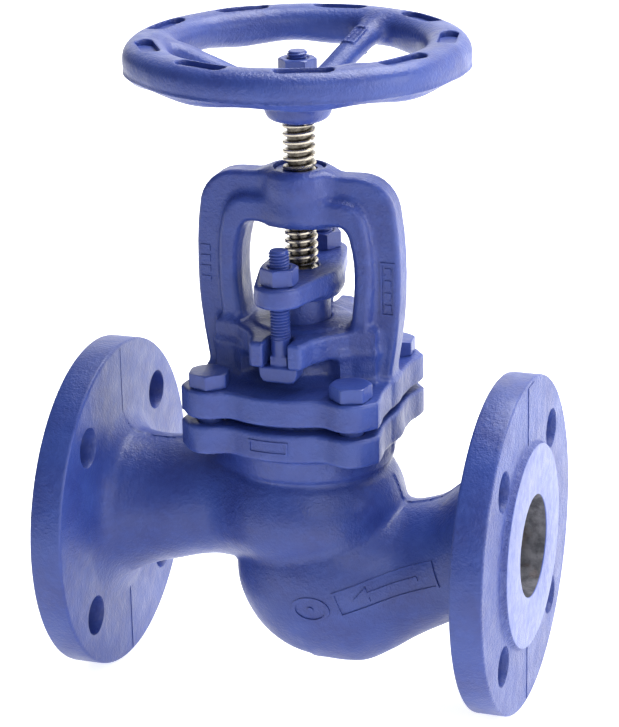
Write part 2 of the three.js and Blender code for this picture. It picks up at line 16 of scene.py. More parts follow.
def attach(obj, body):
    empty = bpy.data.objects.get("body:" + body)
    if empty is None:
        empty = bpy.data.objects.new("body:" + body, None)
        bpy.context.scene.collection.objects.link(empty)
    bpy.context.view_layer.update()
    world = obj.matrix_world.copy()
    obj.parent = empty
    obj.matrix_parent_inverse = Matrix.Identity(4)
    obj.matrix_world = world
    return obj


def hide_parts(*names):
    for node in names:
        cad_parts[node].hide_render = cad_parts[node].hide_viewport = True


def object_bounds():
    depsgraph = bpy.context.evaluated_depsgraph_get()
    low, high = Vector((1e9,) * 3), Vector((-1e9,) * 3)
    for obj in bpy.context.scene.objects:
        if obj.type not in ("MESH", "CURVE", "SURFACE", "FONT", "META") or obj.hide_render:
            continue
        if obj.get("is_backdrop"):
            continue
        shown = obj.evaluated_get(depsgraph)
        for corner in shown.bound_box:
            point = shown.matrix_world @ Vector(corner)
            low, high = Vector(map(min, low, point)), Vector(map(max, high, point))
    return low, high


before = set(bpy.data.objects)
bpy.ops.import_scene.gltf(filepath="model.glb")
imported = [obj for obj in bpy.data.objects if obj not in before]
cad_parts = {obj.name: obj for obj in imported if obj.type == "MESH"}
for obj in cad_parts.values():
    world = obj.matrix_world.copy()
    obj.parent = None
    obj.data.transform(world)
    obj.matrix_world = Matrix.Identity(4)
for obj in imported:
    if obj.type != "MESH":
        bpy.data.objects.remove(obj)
cad_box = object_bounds()

MM = 0.001
AXIS_HEIGHT = 82.5  # of the pipe axis over the floor
ON_AXIS = 1e-6  # a radius up to this counts as none
FAR = -40.0  # a radius on the other side of the axis, so that a profile has no wall there


def add_object(name, data):
    made = bpy.data.objects.new(name, data)
    bpy.context.scene.collection.objects.link(made)
    return made


# ---- camera ----
CAMERA = {"azimuth": 19.28, "elevation": 19.07, "roll": -1.18, "distance": 1332.0, "lens": 136.62}
TARGET = (2.9, 0.0, 82.1)


def make_camera():
    azimuth, elevation, roll = (math.radians(CAMERA[k]) for k in ("azimuth", "elevation", "roll"))
    level = math.cos(elevation)
    back = Vector((math.sin(azimuth) * level, -math.cos(azimuth) * level, math.sin(elevation)))
    right = Vector((math.cos(azimuth), math.sin(azimuth), 0.0))
    up = back.cross(right)
    across = right * math.cos(roll) + up * math.sin(roll)
    rise = up * math.cos(roll) - right * math.sin(roll)
    place = (Vector(TARGET) + Vector((0, 0, AXIS_HEIGHT)) + back * CAMERA["distance"]) * MM
    data = bpy.data.cameras.new("camera")
    data.lens = CAMERA["lens"]
    data.sensor_width = 36.0
    data.clip_end = 50.0
    camera = add_object("camera", data)
    turn = Matrix((across, rise, back)).transposed()
    camera.matrix_world = Matrix.Translation(place) @ turn.to_4x4()
    bpy.context.scene.camera = camera


# ---- distance fields ----
def blend_in(a, b, k):
    """The union of two fields, with a fillet about k wide in the crease."""
    h = np.maximum(k - np.abs(a - b), 0) / k
    return np.minimum(a, b) - h * h * k / 4


def blend_cut(a, b, k):
    """What both fields share, with edges rounded over about k."""
    return -blend_in(-a, -b, k)


def slab(v, low, high):
    return np.abs(v - (low + high) / 2) - (high - low) / 2


def raised(flat, v, low, high, edge):
    """A flat outline's field pulled up from low to high, its edges rounded by edge."""
    a = flat + edge
    b = slab(v, low, high) + edge
    outer = np.hypot(np.maximum(a, 0), np.maximum(b, 0))
    return np.minimum(np.maximum(a, b), 0) + outer - edge


def outline(u, v, points):
    """Signed distance to a closed polygon."""
    nearest = np.full(np.shape(u), np.inf)
    inside = np.zeros(np.shape(u), bool)
    for (ax, ay), (bx, by) in zip(points, points[1:] + points[:1]):
        ex, ey = bx - ax, by - ay
        wu, wv = u - ax, v - ay
        t = np.clip((wu * ex + wv * ey) / (ex * ex + ey * ey), 0, 1)
        nearest = np.minimum(nearest, (wu - ex * t) ** 2 + (wv - ey * t) ** 2)
        if ay != by:
            inside ^= ((ay > v) != (by > v)) & (wu < ex * wv / ey)
    return np.where(inside, -1, 1) * np.sqrt(nearest)


def rounded(points, radius, steps=3):
    """The polygon with each corner replaced by a curve that starts radius before it."""
    made = []
    for i, corner in enumerate(points):
        near = (points[i - 1], corner, points[(i + 1) % len(points)])
        before, here, after = (np.array(point[:2], float) for point in near)
        r = corner[2] if len(corner) > 2 else radius
        if r <= 0:
            made.append(tuple(here))
            continue
        one = here + (before - here) / np.linalg.norm(before - here) * r
        two = here + (after - here) / np.linalg.norm(after - here) * r
        for t in np.linspace(0, 1, steps + 1):
            made.append(tuple((1 - t) ** 2 * one + 2 * t * (1 - t) * here + t * t * two))
    return made


def curve(xs, ys):
    """A smooth function through the points."""
    xs, ys = np.array(xs, float), np.array(ys, float)
    slope = np.gradient(ys, xs)

    def at(x):
        x = np.clip(x, xs[0], xs[-1])
        i = np.clip(np.searchsorted(xs, x) - 1, 0, len(xs) - 2)
        h = xs[i + 1] - xs[i]
        t = (x - xs[i]) / h
        s = t * t * (3 - 2 * t)
        lift = h * t * (1 - t) * ((1 - t) * slope[i] - t * slope[i + 1])
        return ys[i] * (1 - s) + ys[i + 1] * s + lift

    return at


def barrel(x, y, z, rows, edge=1.0):
    """A solid of revolution about Z, smooth through rows of (height, radius)."""
    zs, rs = zip(*rows)
    radius = curve(zs, rs)
    lean = (radius(z + 0.5) - radius(z - 0.5)) ** 2
    side = (np.hypot(x, y) - radius(z)) / np.sqrt(1 + lean)
    return blend_cut(side, slab(z, zs[0], zs[-1]), edge)


def duct(u, v, w, rows, edge=0.5):
    """A solid along u through elliptical sections (u, centre in w, half across v, half w)."""
    us, centres, halves, talls = zip(*rows)
    a, b = curve(us, halves)(u), curve(us, talls)(u)
    q = np.hypot(v / a, (w - curve(us, centres)(u)) / b)
    return blend_cut((q - 1) * np.minimum(a, b) * 0.92, slab(u, us[0], us[-1]), edge)


def ball(x, y, z, centre, radii):
    q = np.sqrt(sum(((v - c) / r) ** 2 for v, c, r in zip((x, y, z), centre, radii)))
    return (q - 1) * min(radii)


def hexagon(x, y, flats, turn):
    """Signed distance to a hexagon prism's sides, with a corner at the angle turn."""
    angle = np.arctan2(y, x) - math.radians(turn) - math.pi / 6
    folded = angle - np.round(angle / (math.pi / 3)) * (math.pi / 3)
    return np.hypot(x, y) * np.cos(folded) - flats / 2


def unevenness(x, y, z, size=0.16):
    """The slow waviness of a sand casting's surface."""
    return size * (
        np.sin(x / 7.3 + 1.3 * np.sin(z / 11.1)) * np.sin(y / 8.1 + 0.7)
        + 0.6 * np.sin(z / 5.7 + 1.1 * np.sin(x / 9.7) + 2.1) * np.sin(y / 6.3 + x / 13.0)
    )


# ---- meshing ----
def sampled(field, axes, step):
    """The field on the grid, worked out finely only near the surface."""
    group = 4
    shape = [len(a) for a in axes]
    coarse_axes = [a[::group] + (group - 1) / 2 * step for a in axes]
    coarse = field(*np.meshgrid(*coarse_axes, indexing="ij"))
    values = coarse
    near = np.abs(coarse) < 1.3 * group * step
    for axis in range(3):
        values = values.repeat(group, axis)
        near = near.repeat(group, axis)
    cut = tuple(slice(0, n) for n in shape)
    values, near = values[cut].copy(), near[cut]
    i = np.nonzero(near)
    values[i] = field(*(axes[a][i[a]] for a in range(3)))
    return values


def crossings(field, values, axes, axis, step):
    """Grid edges along axis that cross the surface: index, sign, point and normal."""
    inside = values < 0
    first = [slice(None)] * 3
    second = [slice(None)] * 3
    first[axis], second[axis] = slice(0, -1), slice(1, None)
    i = np.argwhere(inside[tuple(first)] != inside[tuple(second)])
    j = i.copy()
    j[:, axis] += 1
    low, high = values[tuple(i.T)], values[tuple(j.T)]
    start, end = np.zeros(len(i)), np.ones(len(i))
    base = np.stack([axes[a][i[:, a]] for a in range(3)], 1)
    t = low / (low - high)
    rising = low < 0
    for _ in range(2):
        point = base.copy()
        point[:, axis] += t * step
        here = field(*point.T)
        before = (here < 0) == rising
        start, low = np.where(before, t, start), np.where(before, here, low)
        end, high = np.where(before, end, t), np.where(before, high, here)
        t = start + (end - start) * low / np.where(low == high, 1, low - high)
    point = base.copy()
    point[:, axis] += t * step
    reach = 0.04 * step
    normal = np.zeros_like(point)
    for a in range(3):
        shift = np.zeros(3)
        shift[a] = reach
        normal[:, a] = field(*(point + shift).T) - field(*(point - shift).T)
    normal /= np.maximum(np.linalg.norm(normal, axis=1), 1e-9)[:, None]
    return i, rising, point, normal


def contour(field, low, high, step):
    """Dual contouring: the field's zero surface as vertices and four-sided faces."""
    axes = [np.arange(low[a] - 1.5 * step, high[a] + 2.5 * step, step) for a in range(3)]
    values = sampled(field, axes, step)
    cells = np.array(values.shape) - 1
    corners, rising, points, normals = [], [], [], []
    for axis in range(3):
        i, up, point, normal = crossings(field, values, axes, axis, step)
        u, v = (axis + 1) % 3, (axis + 2) % 3
        ring = []
        for du, dv in ((1, 1), (0, 1), (0, 0), (1, 0)):
            cell = i.copy()
            cell[:, u] -= du
            cell[:, v] -= dv
            ring.append(np.ravel_multi_index(tuple(cell.T), cells))
        corners.append(np.stack(ring, 1))
        rising.append(up)
        points.append(point)
        normals.append(normal)
    corners, rising = np.concatenate(corners), np.concatenate(rising)
    points, normals = np.concatenate(points), np.concatenate(normals)
    used, index = np.unique(corners, return_inverse=True)
    index = index.reshape(corners.shape)
    flat = index.ravel()
    share = np.bincount(flat)

    def total(values_per_edge):
        return np.bincount(flat, np.repeat(values_per_edge, 4))

    middle = np.stack([total(points[:, a]) / share for a in range(3)], 1)
    across = (normals * points).sum(1)
    matrix = np.zeros((len(used), 3, 3))
    for a in range(3):
        for b in range(a, 3):
            matrix[:, a, b] = matrix[:, b, a] = total(normals[:, a] * normals[:, b])
    right = np.stack([total(normals[:, a] * across) for a in range(3)], 1)
    right -= np.einsum("nab,nb->na", matrix, middle)
    matrix += 0.03 * np.eye(3)
    place = middle + np.linalg.solve(matrix, right[:, :, None])[:, :, 0]
    cell = np.stack(np.unravel_index(used, cells), 1)
    floor = np.stack([axes[a][cell[:, a]] for a in range(3)], 1)
    place = np.clip(place, floor, floor + step)
    faces = np.where(rising[:, None], index, index[:, ::-1])
    return place, faces


def pick_faces(mesh, pick):
    """Gives each face the material that pick names for its middle, in mm."""
    middles = np.zeros(len(mesh.polygons) * 3)
    mesh.polygons.foreach_get("center", middles)
    middles = middles.reshape(-1, 3) / MM
    middles[:, 2] -= AXIS_HEIGHT
    mesh.polygons.foreach_set("material_index", pick(*middles.T).astype(np.int32))


def solid_of(points, faces, name):
    """A working solid in mm from a field's mesh."""
    mesh = bpy.data.meshes.new(name)
    mesh.from_pydata(points.tolist(), [], faces.tolist())
    mesh.validate()
    return add_object(name, mesh)


def ridge_profile(core, outer, root, crest):
    """One turn of a thread in section: (radius, height) from root to root, crest eased."""
    ease = (outer - core) * 0.16
    return [
        (core, -root / 2),
        (outer - ease, -crest / 2 - ease * 0.3),
        (outer, -crest / 2 + ease),
        (outer, crest / 2 - ease),
        (outer - ease, crest / 2 + ease * 0.3),
        (core, root / 2),
    ]


def threaded_rod(profile, pitch, phase, low, high, steps):
    """A right-hand threaded rod in mm, a ridge's middle at phase, past low and high."""
    below = math.ceil((phase - low) / pitch) + 1
    turns = below + math.ceil((high - phase) / pitch) + 1
    start = phase - below * pitch
    count = len(profile)
    work = bmesh.new()
    rows = []
    for i in range(turns * steps + 1):
        a = 2 * math.pi * i / steps
        rise = start + pitch * i / steps
        rows.append(
            [work.verts.new((r * math.cos(a), r * math.sin(a), rise + dz)) for r, dz in profile]
        )
    for i in range(turns * steps):
        for k in range(count - 1):
            work.faces.new((rows[i][k], rows[i + 1][k], rows[i + 1][k + 1], rows[i][k + 1]))
    for i in range((turns - 1) * steps):
        work.faces.new((rows[i][-1], rows[i + 1][-1], rows[i + steps + 1][0], rows[i + steps][0]))
    foot = work.verts.new((0, 0, start))
    for i in range(steps):
        work.faces.new((foot, rows[i + 1][0], rows[i][0]))
    for k in range(count - 1):
        work.faces.new((foot, rows[0][k], rows[0][k + 1]))
    work.faces.new((foot, rows[0][-1], rows[steps][0]))
    head = work.verts.new((0, 0, start + turns * pitch))
    last = turns * steps
    for i in range(last - steps, last):
        work.faces.new((head, rows[i][-1], rows[i + 1][-1]))
    for k in range(count - 1):
        work.faces.new((head, rows[last][k + 1], rows[last][k]))
    work.faces.new((head, rows[last][0], rows[last - steps][-1]))
    return solid_from(work, "rod")


def solid_from(work, name):
    """A working solid from a bmesh, which is used up."""
    mesh = bpy.data.meshes.new(name)
    work.to_mesh(mesh)
    work.free()
    return add_object(name, mesh)


def circle(work, r, z, sides):
    """The corners of a circle about Z, or sides times its one corner on the axis."""
    if r <= ON_AXIS:
        return [work.verts.new((0, 0, z))] * sides
    angles = [2 * math.pi * i / sides for i in range(sides)]
    return [work.verts.new((r * math.cos(a), r * math.sin(a), z)) for a in angles]


def turned_solid(name, profile, sides=64):
    """A solid of revolution in mm, from an open profile that starts and ends on the axis or
    from a closed one that stays off it."""
    work = bmesh.new()
    rows = [circle(work, r, z, sides) for r, z in profile]
    after = rows[1:] + (rows[:1] if profile[0][0] > ON_AXIS else [])
    for one, two in zip(rows, after):
        for i in range(sides):
            j = (i + 1) % sides
            corners = list(dict.fromkeys((one[i], one[j], two[j], two[i])))
            if len(corners) > 2:
                work.faces.new(corners)
    bmesh.ops.recalc_face_normals(work, faces=work.faces)
    return solid_from(work, name)


def combine(base, other, operation):
    """The two solids joined, cut or shared; the second one is used up."""
    modifier = base.modifiers.new("work", "BOOLEAN")
    modifier.operation = operation
    modifier.object = other
    modifier.solver = "MANIFOLD"
    graph = bpy.context.evaluated_depsgraph_get()
    made = bpy.data.meshes.new_from_object(base.evaluated_get(graph))
    base.modifiers.clear()
    base.data = made
    bpy.data.objects.remove(other)
    return base


def block(x, y, z):
    """A plain working solid in mm between the ends given on each axis."""
    work = bmesh.new()
    bmesh.ops.create_cube(work, size=1.0)
    for corner in work.verts:
        corner.co = [
            (low + high) / 2 + c * (high - low) for c, (low, high) in zip(corner.co, (x, y, z))
        ]
    return solid_from(work, "block")


def add_marks(casting, marks):
    """Joins small cast marks, each a field with its box and step, onto a working solid."""
    for field, low, high, step in marks:
        casting = combine(casting, solid_of(*contour(field, low, high, step), "mark"), "UNION")
    return casting


def place_solid(solid, node, body, slot, materials, y=0, sharp=40):
    """Turns a working solid in mm, moved along Y, into the piece shown for a CAD node."""
    mesh = solid.data
    bpy.data.objects.remove(solid)
    mesh.transform(Matrix.Scale(MM, 4) @ Matrix.Translation((0, y, AXIS_HEIGHT)))
    mesh.materials.clear()
    piece = add_object(node + "_shape", mesh)
    mesh.polygons.foreach_set("use_smooth", [True] * len(mesh.polygons))
    mesh.set_sharp_from_angle(angle=math.radians(sharp))
    for material in materials:
        mesh.materials.append(material)
    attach(piece, body)
    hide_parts(node)
    return piece


def cast(node, body, slot, material, field, low, high, step, sharp=50):
    """A piece from a field, in a box that encloses its surface."""
    solid = solid_of(*contour(field, low, high, step), node)
    place_solid(solid, node, body, slot, [material], sharp=sharp)


def lathe(node, body, slot, material, profile, bevel=0.25):
    """A turned piece from a closed profile of (radius, height), its corners eased."""
    eased = rounded([(r, z, 0 if r <= 0 else bevel) for r, z in profile], bevel, 2)
    place_solid(turned_solid(node, eased, 96), node, body, slot, [material])


# ---- materials ----
class Surface:
    """A material built of nodes, with short ways to add the ones used here."""

    def __init__(self, name, **settings):
        self.material = bpy.data.materials.new(name)
        self.material.use_nodes = True
        self.tree = self.material.node_tree
        self.shader = self.tree.nodes["Principled BSDF"]
        for key, value in settings.items():
            self.shader.inputs[key.replace("_", " ")].default_value = value
        self.where = self.tree.nodes.new("ShaderNodeTexCoord").outputs["Object"]

    def node(self, kind, inputs=None, **settings):
        made = self.tree.nodes.new(kind)
        for key, value in settings.items():
            setattr(made, key, value)
        for key, value in (inputs or {}).items():
            if isinstance(value, bpy.types.NodeSocket):
                self.tree.links.new(value, made.inputs[key])
            else:
                made.inputs[key].default_value = value
        return made

    def noise(self, size_mm, detail, roughness=0.5):
        """Noise whose blotches are about size_mm across."""
        inputs = {"Scale": 1 / (size_mm * MM), "Detail": detail, "Roughness": roughness}
        inputs["Vector"] = self.where
        return self.node("ShaderNodeTexNoise", inputs).outputs["Fac"]

    def clouds(self, size_mm):
        return self.spread(self.noise(size_mm, 3.0), 0.35, 0.65, 0.0, 1.0)

    def rough(self, size_mm, detail, low, high):
        """Roughness that wanders from low to high."""
        self.set("Roughness", self.spread(self.noise(size_mm, detail), 0.3, 0.7, low, high))

    def math(self, operation, a, b=0.0):
        return self.node("ShaderNodeMath", {0: a, 1: b}, operation=operation).outputs[0]

    def spread(self, value, low, high, to_low, to_high):
        inputs = {"Value": value, "From Min": low, "From Max": high}
        inputs |= {"To Min": to_low, "To Max": to_high}
        return self.node("ShaderNodeMapRange", inputs).outputs[0]

    def between(self, share, one, two):
        made = self.node("ShaderNodeMix", data_type="RGBA")
        for index, value in ((0, share), (6, one), (7, two)):
            socket = made.inputs[index]
            if isinstance(value, bpy.types.NodeSocket):
                self.tree.links.new(value, socket)
            else:
                socket.default_value = value if isinstance(value, float) else (*value, 1.0)
        return made.outputs[2]

    def bump(self, height, depth_mm, strength=1.0, under=None):
        inputs = {"Height": height, "Distance": depth_mm * MM, "Strength": strength}
        if under is not None:
            inputs["Normal"] = under
        return self.node("ShaderNodeBump", inputs).outputs["Normal"]

    def from_axis(self, keep, centre):
        """Distance from an axis: keep masks the directions that count, centre in metres."""
        kind = "ShaderNodeVectorMath"
        away = self.node(kind, {0: self.where, 1: centre}, operation="SUBTRACT").outputs[0]
        kept = self.node(kind, {0: away, 1: keep}, operation="MULTIPLY").outputs[0]
        return self.node(kind, {0: kept}, operation="LENGTH").outputs["Value"]

    def height(self):
        return self.node("ShaderNodeSeparateXYZ", {0: self.where}).outputs[2]

    def set(self, name, value):
        self.tree.links.new(value, self.shader.inputs[name])


BLUE = (0.027, 0.055, 0.255)
BLUE_THIN = (0.036, 0.070, 0.300)
BLUE_DEEP = (0.022, 0.040, 0.205)
BLUE_PALE = (0.088, 0.115, 0.300)


def paint(name, grain, sheen=0.42, thin=BLUE_THIN):
    """Sprayed paint; grain scales how much of the sand casting shows through."""
    s = Surface(name, Specular_IOR_Level=0.42, Coat_Weight=0.10, Coat_Roughness=0.24)
    blotches = s.noise(4.5, 3.0, 0.6)
    tone = s.between(s.clouds(26), BLUE_DEEP, BLUE)
    tone = s.between(s.spread(blotches, 0.45, 0.75, 0.0, 0.55), tone, thin)
    s.set("Base Color", tone)
    s.rough(9, 4.0, sheen - 0.07, sheen + 0.09)
    coarse = s.bump(s.noise(7.0, 1.0), 0.28 * grain)
    fine = s.bump(s.noise(1.7, 2.0, 0.6), 0.34 * grain, 1.0, coarse)
    sand = s.bump(s.noise(0.8, 1.0), 0.13 * grain, 1.0, fine)
    s.set("Normal", sand)
    return s.material


def faced_paint():
    """Paint over a flange face that was turned about the pipe axis."""
    s = Surface("faced_paint", Specular_IOR_Level=0.5, Coat_Weight=0.15, Coat_Roughness=0.2)
    s.set("Base Color", s.between(s.clouds(18), BLUE, BLUE_THIN))
    s.rough(6, 4.0, 0.30, 0.44)
    away = s.from_axis((0, 1, 1), (0, 0, AXIS_HEIGHT * MM))
    wander = s.math("MULTIPLY", s.noise(14, 1.0), 0.0009)
    feed = 0.0011  # from one tool mark to the next, in metres
    rings = s.math("SINE", s.math("MULTIPLY", s.math("ADD", away, wander), 2 * math.pi / feed))
    turned_marks = s.bump(rings, 0.05, 0.6)
    s.set("Normal", s.bump(s.noise(2.2, 3.0, 0.6), 0.28, 1.0, turned_marks))
    return s.material


def bare_casting():
    """The unpainted, sandy inside of the body."""
    s = Surface("bare_casting", Metallic=0.15, Specular_IOR_Level=0.35)
    clouds = s.spread(s.noise(5, 4.0), 0.35, 0.65, 0.0, 1.0)
    tone = s.between(clouds, (0.060, 0.062, 0.075), (0.16, 0.16, 0.185))
    rust = s.between(s.spread(s.noise(12, 3.0), 0.58, 0.75, 0.0, 0.5), tone, (0.12, 0.07, 0.05))
    s.set("Base Color", rust)
    s.rough(3, 3.0, 0.55, 0.8)
    s.set("Normal", s.bump(s.noise(1.8, 4.0, 0.7), 0.5, 0.8))
    return s.material


def turned_steel(name, tone, dark=None, dark_radius=0.0):
    """Steel turned about the stem's axis, darker towards the axis: fully dark inside dark_radius in
    mm, fading out over 1.6 mm beyond it, which puts it in the thread roots.
    """
    s = Surface(name, Metallic=1.0)
    dull = tuple(c * 0.72 for c in tone)
    colour = s.between(s.spread(s.noise(6, 3.0), 0.35, 0.7, 0.0, 1.0), tone, dull)
    # The colour goes to dark inside dark_radius, so the thread roots come out darker than the
    # crests.
    if dark:
        away = s.from_axis((1, 1, 0), (0, 0, 0))
        deep = s.spread(away, dark_radius * MM, (dark_radius + 1.6) * MM, 1.0, 0.0)
        patchiness = s.spread(s.noise(3.5, 3.0), 0.4, 0.7, 0.75, 1.0)
        colour = s.between(s.math("MULTIPLY", deep, patchiness), colour, dark)
    s.set("Base Color", colour)
    s.rough(2.4, 4.0, 0.21, 0.39)
    feed = 0.00035
    lines = s.math("SINE", s.math("MULTIPLY", s.height(), 2 * math.pi / feed))
    s.set("Normal", s.bump(s.noise(1.1, 3.0), 0.04, 0.5, s.bump(lines, 0.006, 0.4)))
    return s.material


def plain_grain(name, one, two, roughness, metallic=0.0):
    """Graphite, brass and the like: two tones and a fine grain."""
    s = Surface(name, Metallic=metallic)
    s.set("Base Color", s.between(s.clouds(3.0), one, two))
    s.rough(2.0, 3.0, roughness - 0.08, roughness + 0.1)
    s.set("Normal", s.bump(s.noise(1.2, 3.0), 0.05, 0.6))
    return s.material


CASTING = paint("casting_paint", 1.0)
SMOOTHER = paint("smoother_paint", 0.4, 0.38)
ROUGH_SAND = paint("rough_casting_paint", 3.4, 0.46, BLUE_PALE)
FACED = faced_paint()
BARE = bare_casting()
# The stem steel turns near black inside 5.9 mm, which is towards the thread roots.
STEM_STEEL = turned_steel("stem_steel", (0.60, 0.55, 0.46), (0.035, 0.030, 0.026), 5.9)
TRIM_STEEL = turned_steel("trim_steel", (0.56, 0.56, 0.56))
BRASS = plain_grain("bush_brass", (0.62, 0.45, 0.19), (0.47, 0.33, 0.14), 0.34, metallic=1.0)
GRAPHITE = plain_grain("graphite", (0.022, 0.022, 0.025), (0.045, 0.045, 0.05), 0.72)

# ---- driving dimensions ----
# Millimetres, in the fit frame: heights count from the pipe axis, radii from the stem's.
LOBE_AT = 35.36  # the bonnet screws and the plates' lobes, along X and Y
HOLE_AT = 44.19  # the flange bolt holes, along Y and Z
GLAND_BOLT_AT = 32.0  # along Y
SPOKE_AT = 71.5  # the first spoke, in degrees
GRIP_AT = 11.5  # the first grip pocket, in degrees
BORE_R, RAISED_R, FLANGE_R = 25, 49.5, 82.5
FLANGE_BACK, FLANGE_FACE, RAISED_FACE = 96.0, 112, 115  # along X
BOLT_CIRCLE_R = 62.5
JOINT_FACE, BONNET_FACE = 62.5, 79.5
SCREW_BORE_R = 6.3
PACKING_R, PACKING_BORE_R = 13.8, 8.3
NUT_HEIGHT, NUT_SEAT = 8.2, 132.1
WHEEL_BOTTOM, HUB_TOP = 203.4, 222.4
STEM_TOP = 236.0


# ---- body ----
# Rows of a duct: X, the centre's height, the half width and the half height.
LEFT_NECK = [
    (-100, 0, 47.5, 47.5), (-97, 0, 42.6, 42.6), (-92.5, 1, 38, 38), (-84.5, 2.4, 34.4, 34.4),
    (-76.5, 3.8, 32.4, 32.4), (-64, 6, 31, 31), (-52, 8.4, 30.5, 30), (-42, 10, 31, 30),
    (-34, 10.5, 32, 30.5), (-10, 10.5, 34, 32),
]
RIGHT_NECK = [
    (14, -22, 37, 42), (24, -25.3, 39, 41.4), (33, -26.8, 39.5, 40), (47, -22.4, 36, 37.2),
    (60, -17.2, 32.5, 34), (71.5, -11.5, 32.4, 33), (78, -7, 33.4, 34), (87, -3, 36.8, 36.8),
    (97, 0, 42.6, 42.6), (100, 0, 47.5, 47.5),
]
# Rows of a barrel: height and radius.
CHAMBER = [
    (-16, 28), (-6, 39.8), (2.5, 45.2), (13, 47), (23, 45), (30, 41.6), (33.8, 39.2),
    (36.4, 40.6), (40, 41.4), (46, 42.2), (50, 44),
]
INLET = [
    (34, -35, 31, 20.5), (44, -32, 28, 21), (53, -21.5, 26, 27.5), (66, -14, 25.5, 26.5),
    (80, -6.5, 26, 26.5), (96, 0, 25, 25), (120, 0, 25, 25),
]
OUTLET = [
    (-120, 0, 25, 25), (-96, 0, 25, 25), (-76, 3.5, 25, 25.2), (-62, 6, 24.3, 24.3),
    (-48, 8.5, 23.2, 23.2), (-34, 13, 22.5, 18.8), (-15, 13, 22.5, 18.8),
]
INNER_CHAMBER = [
    (-6, 35), (-1, 39), (8, 41), (16, 40.5), (24, 38), (32, 34.5), (40, 34), (63.5, 34),
]
BOWL = ((13, 0, -20), (47, 45, 46.8))  # centre and radii
UNDER_SEAT = ((10, 0, -21), (36.5, 36.5, 39.5))
UNDER_SEAT_ROOF = -14
SEAT_BORE_R, SEAT_BORE = 27.15, (-15, -5)
GASKET_RECESS_R, GASKET_RECESS = 40.9, (59.5, 64)
JOINT_PLATE = {"plate_r": 48.5, "lobe_r": 12.0, "low": 48.5, "high": JOINT_FACE, "edge": 1.6}
FLANGE_CORE_R, FLANGE_CORE = 60, (96.25, 99.0)  # the part of a flange that the neck runs into
NECK_BLEND, WAIST_BLEND, PLATE_BLEND, FLANGE_BLEND = 8.0, 3.0, 4.0, 9.0
SHIFT_OF_HALVES = 0.6  # the mould's back half stands out by this along the top of the necks


def lobed_plate(x, y, z, plate_r, lobe_r, low, high, edge):
    """A round plate with four bolt lobes and straight sides along Y."""
    ax, ay = np.abs(x), np.abs(y)
    lobe = np.hypot(ax - LOBE_AT, ay - LOBE_AT) - lobe_r
    between_lobes = np.maximum(ax - LOBE_AT - lobe_r, ay - LOBE_AT)
    middle = np.minimum(np.hypot(x, y) - plate_r, between_lobes)
    return raised(blend_in(middle, lobe, 8.0), z, low, high, edge)


MARK_STEP = 0.36  # of the grid that a mark is meshed on
PANEL = {"x": 52.0, "z": -15.1, "tilt": 20.7, "length": 48.4, "height": 12.2}
ARROW = [(-16, 0), (-9, 4), (-9, 1.2), (15, 1.2), (15, -1.2), (-9, -1.2), (-9, -4)]
OVAL = {"x": 16.1, "z": -27.2, "half_x": 8.6, "half_z": 5.9}


def frame_line(u, v, length, height, width):
    """The border of a rectangle about (0, 0)."""
    away = np.maximum(np.abs(u) - length / 2, np.abs(v) - height / 2)
    return np.abs(away) - width / 2


def on_body(plan):
    """A mark that stands out of the front of the body, from its outline in X and Z."""
    return lambda x, y, z: np.maximum(plan(x, z), slab(body_outside(x, y, z), -1.1, 0.6))


def panel_plan(x, z):
    """A frame along the right neck with an arrow in it."""
    turn = math.radians(PANEL["tilt"])
    dx, dz = x - PANEL["x"], z - PANEL["z"]
    u = dx * math.cos(turn) + dz * math.sin(turn)
    v = dz * math.cos(turn) - dx * math.sin(turn)
    border = frame_line(u, v, PANEL["length"], PANEL["height"], 1.2)
    return np.minimum(border, outline(u, v, ARROW))


def oval_plan(x, z):
    q = np.hypot((x - OVAL["x"]) / OVAL["half_x"], (z - OVAL["z"]) / OVAL["half_z"])
    ring = np.abs((q - 1) * OVAL["half_z"]) - 0.75
    dot = np.hypot(x - OVAL["x"], z - OVAL["z"]) - 1.6
    return np.minimum(ring, dot)


def plate_plan(x, z):
    """The empty frame on the front of the joint plate."""
    return frame_line(x + 2.0, z - 55.6, 19.0, 5.6, 1.0)


BODY_MARKS = [
    (on_body(panel_plan), (26, -46, -33), (78, -27, 4), MARK_STEP),
    (on_body(oval_plan), (6, -48, -35), (26, -41, -20), MARK_STEP),
    (on_body(plate_plan), (-13, -50, 51.5), (9, -45, 59.5), MARK_STEP),
]


def body_inside(x, y, z):
    inside = np.minimum(duct(x, y, z, INLET), duct(x, y, z, OUTLET))
    under = ball(x, y, z, *UNDER_SEAT)
    inside = np.minimum(inside, blend_cut(under, z - UNDER_SEAT_ROOF, 1.0))
    inside = np.minimum(inside, barrel(x - 0.5, y, z, INNER_CHAMBER, 2.0))
    r = np.hypot(x, y)
    inside = np.minimum(inside, np.maximum(r - SEAT_BORE_R, slab(z, *SEAT_BORE)))
    return np.minimum(inside, np.maximum(r - GASKET_RECESS_R, slab(z, *GASKET_RECESS)))


def body_outside(x, y, z):
    chamber = barrel(x - 2.5, y, z, CHAMBER, 3.0)
    lower = blend_in(ball(x, y, z, *BOWL), duct(x, y, z, RIGHT_NECK), NECK_BLEND)
    upper = blend_in(chamber, duct(x, y, z, LEFT_NECK), NECK_BLEND)
    solid = blend_in(lower, upper, WAIST_BLEND) + unevenness(x, y, z)
    on_back_half = (y > 0) * (z > 0) * (np.abs(x) > 44)
    solid = solid - SHIFT_OF_HALVES * np.exp(-((y / 11.0) ** 2)) * on_back_half
    solid = blend_in(solid, lobed_plate(x, y, z, **JOINT_PLATE), PLATE_BLEND)
    core = np.maximum(slab(np.abs(x), *FLANGE_CORE), np.hypot(y, z) - FLANGE_CORE_R)
    return blend_in(solid, core, FLANGE_BLEND)


